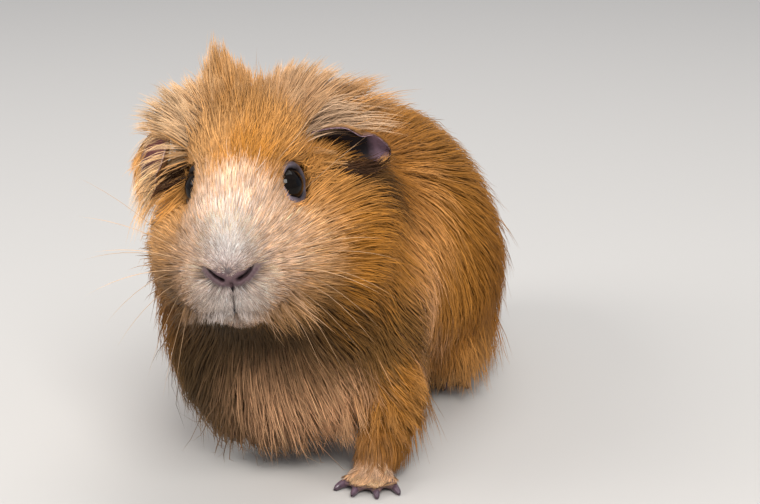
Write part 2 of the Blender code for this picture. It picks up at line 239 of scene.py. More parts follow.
# The way the coat lies: a direction, and how freely it stands off the body, from 0 to 1.
LIE_HEAD = [
    (0, 0, 15, 7, 0, 0.7, 0.8, 0.25), (0, 8, 17, 7, 0, 0.6, 0.9, 0.45), (9, 5, 14, 7, 0.3, 0.6, 0.8, 0.35),
    (-9, 5, 14, 7, -0.3, 0.5, 0.8, 0.35), (-5, 15, 19, 6, -0.10, 0.12, 1, 0.85),
    (4, 15, 19, 4, 0.15, 0.5, 0.9, 0.5), (11, 16, 19, 6, 0.35, 0.45, 0.8, 0.65),
    (20, 20, 15, 7, 0.8, 0.45, 0.45, 0.55), (-14, 14, 17, 6, -0.75, 0.1, 0.65, 0.75),
    (-21, 14, 12, 6, -0.95, -0.05, 0.2, 0.55), (0, 26, 18, 8, 0.05, 0.85, 0.35, 0.35),
    (17, 6, 6, 7, 0.75, 0.6, 0.25, 0.1), (-17, 6, 6, 7, -0.75, 0.6, 0.2, 0.1),
    (26, 6, -12, 11, 0.35, 0.85, -0.15, 0.1), (-23, 6, -12, 11, -0.35, 0.85, -0.25, 0.1),
    (28, 18, -22, 12, 0.35, 0.7, -0.45, 0.12), (-24, 18, -22, 12, -0.3, 0.6, -0.6, 0.12),
    (24, 12, -40, 12, 0.3, 0.45, -0.8, 0.1), (-20, 12, -40, 12, -0.3, 0.45, -0.8, 0.1),
    (0, 4, -44, 10, 0, 0.7, -0.8, 0.05), (0, 34, 8, 12, 0, 1, -0.05, 0.1),
]
LIE_ROW = [
    (38, -40, 75, 14, 0.25, 0.6, -0.75, 0.05), (-36, -50, 70, 14, -0.25, 0.6, -0.75, 0.05),
    (0, -20, 110, 20, 0, 1, -0.1, 0.05), (0, 40, 100, 30, 0, 1, -0.3, 0.03),
    (0, 100, 75, 25, 0, 0.6, -0.8, 0.05), (0, 115, 40, 20, 0, 0.15, -1, 0.08),
    (50, -10, 60, 18, 0.1, 0.35, -0.95, 0.03), (-50, -10, 60, 18, -0.1, 0.35, -0.95, 0.03),
    (50, 40, 60, 20, 0.1, 0.6, -0.8, 0.03), (-52, 40, 60, 20, -0.1, 0.6, -0.8, 0.03),
    (40, 85, 50, 20, 0.05, 0.7, -0.8, 0.05), (-45, 85, 50, 20, -0.05, 0.7, -0.8, 0.05),
    (48, 0, 20, 13, 0.05, 0.2, -1, 0.45), (-50, 0, 20, 13, -0.05, 0.2, -1, 0.45),
    (44, 30, 20, 13, 0.05, 0.2, -1, 0.45), (-50, 30, 20, 13, -0.05, 0.2, -1, 0.45),
    (42, 60, 18, 13, 0.05, 0.25, -1, 0.45), (-50, 60, 18, 13, -0.05, 0.25, -1, 0.45),
    (32, 90, 18, 13, 0.05, 0.25, -1, 0.4), (-36, 90, 18, 13, -0.05, 0.25, -1, 0.4),
    (0, 105, 18, 13, 0, 0.2, -1, 0.4), (2, -70, 40, 11, 0.1, 0.05, -1, 0.15),
    (2, -64, 16, 9, 0.1, -0.15, -1, 0.35), (18, -68, 34, 10, 0.5, -0.05, -0.85, 0.25),
    (-16, -66, 32, 10, -0.5, 0, -0.85, 0.2), (23, -61, 20, 9, 0.55, -0.1, -0.8, 0.5),
    (-18, -60, 18, 9, -0.4, -0.05, -0.9, 0.5), (30, -60, 46, 9, 0.5, 0.05, -0.85, 0.15),
    (-28, -60, 42, 11, -0.3, 0.1, -1, 0.15), (0, 0, 10, 25, 0, 1, -0.1, 0), (0, 60, 12, 25, 0, 1, -0.1, 0),
    (40, -44, 30, 7, 0.75, -0.1, -0.5, 0.4), (36, -49, 18, 7, 0.35, -0.15, -0.9, 0.35),
    (28, -54, 20, 6, -0.35, -0.25, -0.9, 0.35), (34, -53, 11, 5, 0.1, -0.3, -0.9, 0.25),
    (-18, -20, 22, 9, 0, 0.1, -1, 0.1), (34, -52, 5, 8, 0, -1, -0.3, 0.12), (-17, -20, 5, 8, 0, -1, -0.3, 0),
    (30, 72, 20, 9, 0, -0.1, -1, 0), (-36, 72, 20, 9, 0, -0.1, -1, 0), (29, 60, 4, 10, 0, -1, -0.2, 0),
    (-36, 60, 4, 10, 0, -1, -0.2, 0),
]

# The markings: where each colour sits, and how pale the hair's tips are, from 0 to 1, where they are paler.
# Some stations are painted shade or painted light, as marked.
MARKINGS_HEAD = [
    (0.5, -32, -10, 4, WHITE * 0.82), (0.5, -29, -4, 6, WHITE * 0.82), (0.9, -33, -17, 4, MAUVE * 0.5),
    (0.9, -32.5, -14, 2.2, MAUVE * 0.42), (-3.4, -31.5, -13.2, 2, MAUVE * 0.42),
    (5.4, -31, -13.2, 2, MAUVE * 0.42), (6, -30, -22, 5, ASH * 0.8, 0.1),
    (-4.5, -31, -22, 4.5, ASH * 0.8, 0.1), (0.4, -27, -29, 5, ASH * 0.78), (13, -27, -22, 5, TAN * 0.7, 0.1),
    # Painted shade, over darker fur: the lower left of the muzzle is darker than the right.
    (-12, -27.5, -25, 5, GOLD * 0.38), (9.5, -26, -30, 5, GOLD * 0.45), (-9, -27, -30, 5, ASH * 0.35),
    # Painted shade: the lower left cheek (GOLD * 0.22), and the lower lip under the upper lip's edge (ASH *
    # 0.22).
    (13.5, -23, -28, 6, GOLD * 0.5), (-12.5, -24, -27, 5, GOLD * 0.22), (0.4, -27, -33.2, 1.6, ASH * 0.22),
    # Painted shade on the chin, under the lip and under the jaw.
    (0, -24, -34.5, 2.5, ASH * 0.22), (0, -16, -40, 6, PAINTED_SHADE), (0, -20, -38, 3, PAINTED_SHADE * 0.8),
    (10, -26, -10, 7, CREAM * 0.68, 0.2), (-9, -26, -10, 7, CREAM * 0.6, 0.15),
    (16, -22, -16, 7, CREAM * 0.8, 0.2), (14, -19, -9, 4, CREAM * 0.85, 0.2),
    (-15, -22, -16, 7, TAN * 0.46, 0.1), (0, -26, 1, 5, CREAM * 0.72), (9, -19, -2, 6, CREAM * 0.7),
    (-8, -20, -2, 6, CREAM * 0.6), (0.8, -22, 5, 3.2, CREAM * 0.8), (5.5, -20, 3, 3, CREAM * 0.72),
    (-4.5, -22.5, 3, 3, CREAM * 0.68), (1.8, -17.5, 8.4, 2, CREAM * 0.7), (-6.3, -19.5, 7.2, 3, GOLD * 0.8),
    (-3.4, -17, 10.2, 3, GINGER * 0.85), (-10.8, -17, 3.8, 3, GOLD * 0.75),
    (1.6, -12.5, 12.3, 3, GINGER * 0.8), (6.2, -14, 10.4, 3, GINGER * 0.8), (9.4, -15, 7.6, 3, GINGER * 0.8),
    (12.2, -13, 4, 3, GINGER * 0.75), (14, -9.5, 0.5, 3, GINGER * 0.7), (-5, -9, 13, 4, GOLD * 0.75),
    (7, -8, 12, 4, GINGER * 0.75), (12.5, -12.5, -3.5, 3, CREAM * 0.55), (-12, -12, -3, 3.5, GOLD * 0.75),
    (9, -3, 13, 5, GINGER * 0.5 + GOLD * 0.42, 0.15), (-8, -3, 13, 6, GOLD * 0.66, 0.1),
    (2, 4, 19, 8, GINGER * 0.34, 0.1), (19, 24, 14, 6, GINGER * 0.6, 0.08),
    (-6, 16, 26, 9, GINGER * 0.75, 0.2), (16, 18, 22, 9, (GOLD + CREAM) * 0.35, 0.3),
    (-18, 13, 18, 8, linear((214, 182, 146)) * 0.75, 0.3), (30, 26, 18, 8, GINGER * 0.6, 0.05),
    # Painted shadow under the left ear.
    (33, 19, -4, 6, PAINTED_SHADE * 0.6), (28, 13, -1, 4.5, PAINTED_SHADE * 0.6), (24, 9.5, 0, 3.5, PAINTED_SHADE),
    (20.5, 8, 1.5, 3, GINGER * 0.6), (-25, 13, 3, 4, BROWN * 0.7), (-19, 7, 2, 4, GINGER),
    (18, -12, -12, 8, (GOLD + TAN) * 0.45, 0.15), (-16, -14, -13, 8, GOLD * 0.75, 0.1),
    # Painted shade on the lower left cheek (GOLD * 0.2).
    (18, -16, -24, 8, GOLD * 0.78, 0.1), (-16, -18, -24, 7, GOLD * 0.2),
    # The left temple's gold is painted bright, partly as painted light where the ear shades it.
    (18, 4, -6, 9, (GINGER + GOLD) * 0.42, 0.05), (-20, 6, -2, 7, GOLD, 0.05),
    (27, 2, -18, 10, GINGER * 0.74, 0.03), (-23, -2, -18, 9, GOLD * 0.65, 0.1),
    (30, 12, -24, 10, GINGER * 0.82, 0.05), (-26, 14, -30, 10, DEEP_GINGER * 0.5, 0.05),
    # Painted shade, over fur that is darker there too: under the jaw, on the lower left cheek and down the
    # throat; the last two stations are the painted shadow along the ruff's edge.
    (17, -10, -38, 8, BROWN * 0.8, 0.05), (-13, -12, -36, 8, PAINTED_SHADE), (-23, -8, -31, 6, PAINTED_SHADE * 1.3),
    (-18.5, -14, -28, 5, BROWN * 0.55), (-24, -3, -26, 5, DEEP_GINGER * 0.34),
    (28, 16, -42, 11, BROWN * 0.9, 0.05), (-20, 10, -44, 11, PAINTED_SHADE * 1.1, 0.05),
    (0, 0, -46, 10, PAINTED_SHADE * 0.8, 0.05), (18, 4, -50, 9, BROWN * 0.38, 0.05), (41, 28, -44, 5, BROWN * 0.6),
    (43, 29, -30, 4, BROWN * 0.9),
]
MARKINGS_ROW = [
    # Painted shade on the chest's left side (the first station).
    (-14, -70, 34, 10, PAINTED_SHADE, 0.1), (8, -72, 36, 11, ROSE * 0.95, 0.3), (24, -64, 32, 9, ROSE * 1.5, 0.35),
    # Painted shade, over darker fur: the brown stations on this line and the next, and ROSE * 0.25, darken the
    # throat under the chin, the chest's underside and far side, and the gap between chest and foreleg.
    (15, -70, 43, 7, BROWN * 0.6, 0.1), (4, -64, 16, 10, ROSE * 0.25, 0.2), (-18, -62, 20, 9, BROWN, 0.4),
    (20, -60, 20, 9, ROSE * 0.85, 0.4), (30, -58, 32, 6, BROWN * 0.8, 0.1), (26, -54, 19, 4.5, BROWN * 0.45),
    (0, -30, 105, 25, DEEP_GINGER * 0.66, 0.08), (0, 50, 100, 40, GINGER * 0.5, 0.08),
    (42, -40, 78, 9, GINGER * 0.75 + ROSE * 0.3, 0.15), (38, -20, 88, 9, GINGER * 0.7 + ROSE * 0.25, 0.15),
    # A pale pink band behind the ruff: pink fur painted lighter, as painted light on it and where the shoulder
    # shades the flank (the next two lines too).
    (45, -31, 61, 5, ROSE * 1.2, 0.2), (43, -34, 71, 5, ROSE * 1.05, 0.15),
    (44, -26, 42, 7, ROSE * 1.05, 0.15),
    (46, -7, 41, 6, ROSE * 1.3, 0.2), (45.5, -21, 51, 5, ROSE * 1.25, 0.2),
    (50, -8, 60, 14, GINGER * 0.65, 0.08), (52, 14, 56, 16, DEEP_GINGER * 0.62, 0.05),
    (46, 12, 28, 10, GINGER * 0.9 + ROSE * 0.1, 0.15), (50, 50, 55, 20, DEEP_GINGER * 0.5, 0.05),
    (-50, 0, 60, 30, GINGER * 0.7, 0.1), (40, 90, 50, 30, DEEP_GINGER * 0.75, 0.08),
    (-45, 90, 50, 30, DEEP_GINGER * 0.8, 0.08), (0, 20, 10, 30, GOLD * 0.6, 0.2),
    (48, 0, 22, 16, DEEP_GINGER * 0.7, 0.1), (-50, 0, 22, 16, DEEP_GINGER * 0.7, 0.1),
    (38, -46, 28, 8, GINGER * 0.62, 0.1), (36, -50, 16, 7, DEEP_GINGER * 0.55, 0.1),
    (-18, -20, 22, 10, DEEP_GINGER * 0.6, 0.1), (34, -57, 5, 7, TAN * 0.85, 0.1),
    (-17, -24, 5, 7, TAN * 0.7, 0.1), (29, 60, 4, 12, TAN * 0.5, 0.1), (-36, 60, 4, 12, TAN * 0.5, 0.1),
]


def stations(in_head, in_row, directed=False):
    """A table's places, reaches and values, in the row frame. Directed values start with a direction."""
    rows = in_head + in_row
    places = [from_head(row[:3]) for row in in_head] + [row[:3] for row in in_row]
    values = [np.hstack(row[4:]) for row in rows]
    if directed:
        values = [np.hstack((turned(v[:3]), v[3:])) if i < len(in_head) else v for i, v in enumerate(values)]
    return np.array(places, float), np.array([row[3] for row in rows], float), np.array(values, float)


def with_tips(rows):
    """The rows of markings, each with a paleness of the tips."""
    return [(*row, 0.0)[:6] for row in rows]


COAT = stations(COAT_HEAD, COAT_ROW)
LIE = stations(LIE_HEAD, LIE_ROW, directed=True)
MARKINGS = stations(with_tips(MARKINGS_HEAD), with_tips(MARKINGS_ROW))
BATCH = 20000


def field(table, points):
    """The mean of a table's values at each point, as one array with a column for each value."""
    places, reach, values = table
    out = np.empty((len(points), values.shape[1]))
    for start in range(0, len(points), BATCH):
        part = points[start:start + BATCH]
        near = ((part[:, None, :] - places[None]) ** 2).sum(2) / reach ** 2
        weight = np.exp(-(near - near.min(1, keepdims=True)))
        out[start:start + BATCH] = weight @ values / weight.sum(1, keepdims=True)
    return out


NOSE_TIP = np.array([0.5, -36, -16])
FACE_STAND, FACE_STAND_BACK = 0.14, 0.08  # how freely hair stands at the nose, and how much more behind it


def lie_of_coat(points, normals):
    """Directions of the hair along the skin and in space, and how freely it stands, at points of the skin.
    On the face the hair leads away from the nose."""
    out = field(LIE, points)
    way, stand = unit(out[:, :3]), out[:, 3]
    local = to_head(points)
    from_nose = turned(unit(local - NOSE_TIP))
    face = clamp((14 - local[:, 1]) / 16) * (local[:, 1] < 25) * clamp((local[:, 2] + 52) / 12)
    face = clamp(face * 1.6)
    raw = unit(way * (1 - face[:, None]) + from_nose * face[:, None])
    stand_on_face = FACE_STAND + FACE_STAND_BACK * clamp((local[:, 1] + 34) / 16)
    return along_skin(raw, normals), raw, stand * (1 - face) + stand_on_face * face


# ------------------------------------------------------------------ meshes in arrays

PAINT = "coat"


def mesh_arrays(mesh):
    """A mesh's vertices and triangles."""
    verts = np.empty(len(mesh.vertices) * 3)
    mesh.vertices.foreach_get("co", verts)
    mesh.calc_loop_triangles()
    tris = np.empty(len(mesh.loop_triangles) * 3, np.int64)
    mesh.loop_triangles.foreach_get("vertices", tris)
    return verts.reshape(-1, 3), tris.reshape(-1, 3)


def normals_of(verts, tris):
    """The normals at vertices, from the triangles round them."""
    a, b, c = (verts[tris[:, k]] for k in range(3))
    face = np.cross(b - a, c - a)
    out = np.zeros_like(verts)
    for k in range(3):
        for axis in range(3):
            out[:, axis] += np.bincount(tris[:, k], face[:, axis], len(verts))
    return unit(out)


def outward(verts, tris, vertex, way):
    """The triangles, turned round if the normal at a vertex doesn't point that way."""
    return tris[:, ::-1] if normals_of(verts, tris)[vertex] @ way < 0 else tris


def smoothed(values, tris, times, share=0.5, keep=None):
    """Values at vertices, moved towards the mean of their neighbours'. keep holds some back."""
    a = np.concatenate([tris[:, k] for k in (0, 1, 2, 1, 2, 0)])
    b = np.concatenate([tris[:, k] for k in (1, 2, 0, 0, 1, 2)])
    count = np.maximum(np.bincount(a, minlength=len(values)), 1)[:, None]
    values = values.copy()
    for _ in range(times):
        sums = [np.bincount(a, values[b, k], len(values)) for k in range(values.shape[1])]
        values += (np.stack(sums, 1) / count - values) * (share if keep is None else share * keep[:, None])
    return values


def tree_of(verts, tris):
    return BVHTree.FromPolygons(verts.tolist(), tris.tolist())


def nearest(tree, points):
    """Nearest places on a surface, the triangles they are in, and how far they are."""
    found = [tree.find_nearest(p) for p in points.tolist()]
    place = np.array([f[0][:] for f in found])
    return place, np.array([f[2] for f in found]), np.array([f[3] for f in found])


def new_object(name, mesh):
    made = bpy.data.objects.new(name, mesh)
    bpy.context.scene.collection.objects.link(made)
    return made


def write_mesh(name, verts, tris):
    """A mesh of triangles in metres from arrays in millimetres."""
    mesh = bpy.data.meshes.new(name)
    mesh.vertices.add(len(verts))
    mesh.vertices.foreach_set("co", (verts * MM).astype(np.float32).ravel())
    mesh.loops.add(len(tris) * 3)
    mesh.loops.foreach_set("vertex_index", tris.astype(np.int32).ravel())
    mesh.polygons.add(len(tris))
    mesh.polygons.foreach_set("loop_start", np.arange(0, len(tris) * 3, 3, dtype=np.int32))
    mesh.update(calc_edges=True)
    mesh.polygons.foreach_set("use_smooth", np.ones(len(tris), bool))
    return mesh


def paint(mesh, colours):
    """Colours at a mesh's vertices, under the name that the materials read."""
    layer = mesh.attributes.new(PAINT, "FLOAT_COLOR", "POINT")
    rgba = np.ones((len(colours), 4), np.float32)
    rgba[:, :3] = colours
    layer.data.foreach_set("color", rgba.ravel())


# ------------------------------------------------------------------ the skin

FLESH = [n for n in NODES if not n.startswith(("claw_", "eye_", "crest"))]
BODY = [n for n in FLESH if not n.startswith("ear_")]
SWELL, VOXEL, WELD = 0.4, 0.95, 0.01
CLAW_END = 0.8  # how much of a claw's length counts as its root or tip
SKIN_LOWEST = 0.35


def claw_line(name):
    """The root and tip of a claw, from its own solid."""
    points = np.array([v.co[:] for v in NODES[name].data.vertices]) / MM
    mid = points.mean(0)
    along = np.linalg.svd(points - mid)[2][0]
    at = (points - mid) @ along
    ends = [points[at < at.min() + CLAW_END].mean(0), points[at > at.max() - CLAW_END].mean(0)]
    return sorted(ends, key=lambda p: -p[2])


def claw_way(name):
    """The root of a claw, and the way it points along the floor."""
    root, tip = claw_line(name)
    return root, unit((tip - root) * (1, 1, 0))


TOE_SIZES = [(-8.5, 2.6, 3.0), (-6, 2.5, 2.9), (-4, 2.3, 2.7), (-2, 2.2, 2.6), (0, 2.1, 2.6), (1.4, 1.9, 2.2)]


def add_toes(work):
    """Each toe as a row of balls that ends round its claw's root: how far along, height and radius."""
    for name in CLAWS:
        root, along = claw_way(name)
        for reach, high, radius in TOE_SIZES:
            at = Matrix.Translation(Vector((*(root + along * reach)[:2], high)) * MM)
            bmesh.ops.create_icosphere(work, subdivisions=2, radius=radius * MM, matrix=at)


def outer_surface():
    """The solids of the body as one closed surface, with no joints and no facets."""
    everything = bmesh.new()
    add_toes(everything)
    for name in BODY:
        part = bmesh.new()
        part.from_mesh(NODES[name].data)
        bmesh.ops.remove_doubles(part, verts=part.verts, dist=WELD * MM)
        part.normal_update()
        for v in part.verts:
            v.co += v.normal * SWELL * MM
        moved = bpy.data.meshes.new("part")
        part.to_mesh(moved)
        everything.from_mesh(moved)
        part.free()
        bpy.data.meshes.remove(moved)
    mesh = bpy.data.meshes.new("outer")
    everything.to_mesh(mesh)
    everything.free()
    made = new_object("outer", mesh)
    remesh = made.modifiers.new("remesh", "REMESH")
    remesh.mode, remesh.voxel_size = "VOXEL", VOXEL * MM
    fused = bpy.data.meshes.new_from_object(made.evaluated_get(bpy.context.evaluated_depsgraph_get()))
    verts, tris = mesh_arrays(fused)
    bpy.data.objects.remove(made)
    bpy.data.meshes.remove(mesh)
    bpy.data.meshes.remove(fused)
    verts = verts / MM
    calm = np.interp(verts[:, 2], [5, 14], [0.05, 1.0])  # the feet keep their shape
    return smoothed(verts, tris, 20, 0.5, calm), tris


def shrunk(verts, tris):
    """The skin under the coat: the outer surface moved in by the coat's depth, in small steps."""
    depth = field(COAT, verts)[:, 0]
    skin, steps = verts.copy(), 6
    for _ in range(steps):
        inward = smoothed(normals_of(skin, tris), tris, 3)
        skin -= unit(inward) * depth[:, None] / steps
        skin = smoothed(skin, tris, 1, 0.25, clamp(depth / 3))
    skin[:, 2] = np.maximum(skin[:, 2], SKIN_LOWEST)
    return skin


def refined(verts, tris, chosen, cuts):
    """The same surface with the chosen triangles cut finer."""
    work = bmesh.new()
    made = [work.verts.new(v) for v in verts.tolist()]
    for t in tris.tolist():
        work.faces.new((made[t[0]], made[t[1]], made[t[2]]))
    work.faces.ensure_lookup_table()
    edges = {e for i in np.nonzero(chosen)[0] for e in work.faces[i].edges}
    bmesh.ops.subdivide_edges(work, edges=list(edges), cuts=cuts, use_grid_fill=True)
    bmesh.ops.triangulate(work, faces=work.faces)
    mesh = bpy.data.meshes.new("fine")
    work.to_mesh(mesh)
    work.free()
    fine, tris = mesh_arrays(mesh)
    bpy.data.meshes.remove(mesh)
    return fine, tris


def along(points, line):
    """Distance of points in a plane from a line of points, and how far along it the nearest place is."""
    best, at = np.full(len(points), 1e9), np.zeros(len(points))
    line = np.asarray(line, float)
    for k in range(len(line) - 1):
        a, b = line[k], line[k + 1]
        t = clamp(((points - a) @ (b - a)) / ((b - a) @ (b - a)))
        far = np.linalg.norm(points - (a + t[:, None] * (b - a)), axis=1)
        nearer = far < best
        best, at = np.where(nearer, far, best), np.where(nearer, (k + t) / (len(line) - 1), at)
    return best, at


# Lines of the nose and mouth, seen from in front in the head's frame: x, z.
NOSTRILS = {
    "right": [(-5.2, -15.2), (-4.4, -16.2), (-3.0, -17.4), (-1.3, -18.5)],
    "left": [(6.8, -15.2), (6.1, -16.3), (4.9, -17.4), (3.1, -18.4)],
}
PHILTRUM = [(0.9, -19.6), (0.9, -22.0), (0.5, -27.0), (0.4, -31.4)]
MOUTH = [(-10, -29.4), (-6, -31.0), (-3, -31.1), (0.2, -30.5), (3.4, -31.0), (6.3, -30.9), (10, -29.0)]
NOSE_PAD = [(-3.6, -16.6), (0.9, -18.8), (5.3, -16.8)]
LIP_EDGE, CHIN_BACK = -30.6, 4.2


def carve_face(verts):
    """The nostrils and the wings round them, the cleft and lower edge of the lip and the line of the mouth."""
    local = to_head(verts)
    front = (local[:, 1] < -14) & (local[:, 2] > -40)
    flat = local[:, [0, 2]]
    push = np.zeros(len(verts))
    for line in NOSTRILS.values():
        far, at = along(flat, line)
        push += bell(far, 0.34 + 0.16 * at) * (0.7 + 1.6 * at)
        push -= bell(far - 1.3, 0.8) * 0.35
    far, _ = along(flat, PHILTRUM)
    push += bell(far, 0.42)
    push -= bell(far - 1.5, 1.0) * 0.18
    far, at = along(flat, MOUTH)
    push += bell(far, 0.7) * 2.6 * (1 - 0.6 * abs(2 * at - 1))
    push += clamp((LIP_EDGE - local[:, 2]) / 0.9) * clamp((13 - abs(local[:, 0])) / 4) * CHIN_BACK
    local[:, 1] += np.where(front, push, 0)
    return from_head(local)


def fill_lores(verts, tris):
    """A little more flesh between the bridge of the nose and each cheek."""
    normals, near = normals_of(verts, tris), [off_axis(verts, x, -17, -8) for x in (-12.0, 12.5)]
    for far in near:
        verts = verts + normals * (1.7 * bell(far, 7.5))[:, None]
    return verts


def slim_bridge(verts, tris):
    """The body's surface a little lower beside the bridge of the nose, where hair would hide the far eye."""
    far = off_axis(verts, -10.5, -15, 3.5)
    return verts - normals_of(verts, tris) * (1.8 * bell(far, 6.5))[:, None]


def eye_frame(side):
    """The eye's centre, its outward axis, and the two directions across it: up, and towards the nose."""
    mirror = np.array([1, 1, 1]) if side == "left" else np.array([-1, 1, 1])
    out = unit(turned(unit(np.array([0.89, -0.37, 0.26]) * mirror)))
    up = turned((0, 0, 1))
    up = unit(up - out * (up @ out))
    forward = np.cross(up, out)
    if forward @ turned((0, -1, 0)) < 0:
        forward = -forward
    return (EYE_LEFT if side == "left" else EYE_RIGHT), out, up, forward


LID_OPEN, LID_SLANT = 4.55, radians(24)


def opening(angle):
    """Half the width of the eye's opening at an angle round it: nearly round, drawn out at both corners."""
    return LID_OPEN * (1 + 0.10 * np.cos(2 * (angle - LID_SLANT)) ** 3)


# The socket: how high the skin may stand at distances from the eye's axis.
SOCKET_WIDE, SOCKET_HIGH = [0, 5.0, 5.9, 7.4, 9.5], [-0.5, 0.2, 1.1, 2.1, 3.2]


def seat_eyes(verts):
    """The skin passes under each lid, and goes down into the eye's socket."""
    verts = verts.copy()
    for side in SIDES:
        centre, out, _, _ = eye_frame(side)
        rel = verts - centre
        high = rel @ out
        wide = np.linalg.norm(rel - high[:, None] * out, axis=1)
        near = (wide < SOCKET_WIDE[-1]) & (high > -4)
        lower = np.where(near, np.minimum(high, np.interp(wide, SOCKET_WIDE, SOCKET_HIGH)), high)
        verts += (lower - high)[:, None] * out
    return verts


def lofted(rings):
    """Triangles over a row of rings, each a closed loop of the same number of points."""
    rings = np.asarray(rings, float)
    n, m, _ = rings.shape
    tris = []
    for i in range(n - 1):
        for j in range(m):
            a, b = i * m + j, i * m + (j + 1) % m
            tris += [(a, b, b + m), (a, b + m, a + m)]
    return rings.reshape(-1, 3), np.array(tris)


def make_lid(side, steps=72):
    """The bare rim round an eye: a closed ring whose inner edge lies on the eyeball."""
    centre, out, up, forward = eye_frame(side)
    loops = []
    for k in range(steps + 1):
        angle = 2 * pi * k / steps
        wide = float(opening(np.array(angle)))
        high = sqrt(EYE_RADIUS ** 2 - wide ** 2)
        upper = 0.5 + 0.5 * sin(angle)
        profile = [
            (wide, high + 0.03), (wide + 0.10, high + 0.34), (wide + 0.42, high + 0.58 + 0.15 * upper),
            (wide + 1.1, high + 0.52 + 0.2 * upper), (wide + 1.9, high + 0.08 + 0.15 * upper),
            (wide + 2.7, high - 0.8), (wide + 3.5, high - 2.2), (wide + 2.2, high - 2.6),
            (wide + 1.3, high - 2.0), (wide + 0.6, high - 0.9),
        ]
        radial = cos(angle) * forward + sin(angle) * up
        loops.append([centre + w * radial + h * out for w, h in profile])
    verts, tris = lofted(loops)
    m = len(loops[0])
    tris = np.where(tris >= steps * m, tris - steps * m, tris)
    verts = verts[:steps * m]
    return verts, outward(verts, tris, 2, out)


# Each ear: root, the way it points, the line of its root, in the head's frame; then its length, its half width
# on either side of the middle, its cup and its droop.
EARS = {
    "left": ((17, 19, 7.4), (0.96, 0.22, 0.10), (0.05, 0.45, -0.88), 23.0, (9.0, 9.6), 7.0, 4),
    "right": ((-24, 15, 12.0), (-0.20, -0.16, -0.95), (-0.72, 0.68, 0.10), 17.0, (5.6, 6.6), 5.0, 2),
}
EAR_THICK = 0.9
EAR_LAST, EAR_STEP = 0.999, 1e-3  # short of the tip, where the sheet ends in a point


def ear_sheet(side, s, t):
    """A point of the ear's middle sheet: s runs from root to tip, t from -1 to 1 across it."""
    root, point, line, length, halves, cup, droop = EARS[side]
    point = unit(np.array(point, float))
    line = np.array(line, float)
    line = unit(line - point * (line @ point))
    front = np.cross(line, point)
    if front @ np.array([0, -1, 0]) < 0:
        front = -front
    half = np.where(t < 0, halves[0] * (1 - 0.32 * bell(s - 0.66, 0.13)), halves[1])
    half = half * (0.50 + 0.62 * np.sin(pi * clamp(s * 0.86 + 0.04)) - 0.16 * s)
    half = half * np.sqrt(clamp(1 - clamp((s - 0.55) / 0.45) ** 2.6))
    ripple = 0.5 * np.sin(5.2 * s + 1.3) * t ** 3
    q = np.array(root, float) + np.outer(s * length, point) + np.outer(half * t, line)
    lobe = 2.2 * clamp((s - 0.72) / 0.28) ** 1.5
    q = q + np.outer(cup * np.abs(t) ** 2.4 * (0.45 + 0.5 * np.sin(pi * s)) + ripple + lobe, front)
    q[:, 2] -= droop * s ** 2
    return q, front


def make_ear(side, long=30, wide=26):
    """An ear as a thin closed sheet, which faces are its inside, and where each vertex is on the sheet."""
    s, t = np.meshgrid(np.linspace(0, 1, long), np.linspace(-1, 1, wide), indexing="ij")
    s, t = s.ravel(), t.ravel()
    mid, front = ear_sheet(side, s * EAR_LAST, t)
    ahead, behind = np.minimum(s + EAR_STEP, EAR_LAST), np.maximum(s - EAR_STEP, 0)
    ds = ear_sheet(side, ahead, t)[0] - ear_sheet(side, behind, t)[0]
    dt = ear_sheet(side, s * EAR_LAST, t + EAR_STEP)[0] - ear_sheet(side, s * EAR_LAST, t - EAR_STEP)[0]
    normal = unit(np.cross(ds, dt))
    normal *= np.sign(normal @ front)[:, None]
    normal = unit(normal + 1e-3 * front)
    thick = EAR_THICK / 2 * (1 - 0.55 * s) * (1 - 0.45 * t ** 2)
    sides = [mid + normal * thick[:, None], mid - normal * thick[:, None]]
    count = long * wide
    quads = [(a, a + 1, a + wide + 1, a + wide)
             for i in range(long - 1) for a in range(i * wide, i * wide + wide - 1)]
    back = [tuple(count + v for v in q[::-1]) for q in quads]
    border = [(i, 0) for i in range(long)] + [(long - 1, j) for j in range(1, wide)]
    border += [(i, wide - 1) for i in range(long - 2, -1, -1)] + [(0, j) for j in range(wide - 2, 0, -1)]
    border = [i * wide + j for i, j in border]
    rim = [(a, count + a, count + b, b) for a, b in zip(border, border[1:] + border[:1])]
    verts = from_head(np.concatenate(sides))
    tris = np.array([t for q in quads + back + rim for t in ((q[0], q[1], q[2]), (q[0], q[2], q[3]))])
    if (normals_of(verts, tris)[:count] @ turned(front)).mean() < 0:
        tris = tris[:, ::-1]
    inner = np.concatenate([np.ones(count), np.zeros(count)])
    return verts, tris, np.stack([inner, np.tile(s, 2), np.tile(t, 2)], 1)


BODY_KIND, LID_KIND, EAR_KIND = 0, 1, 2


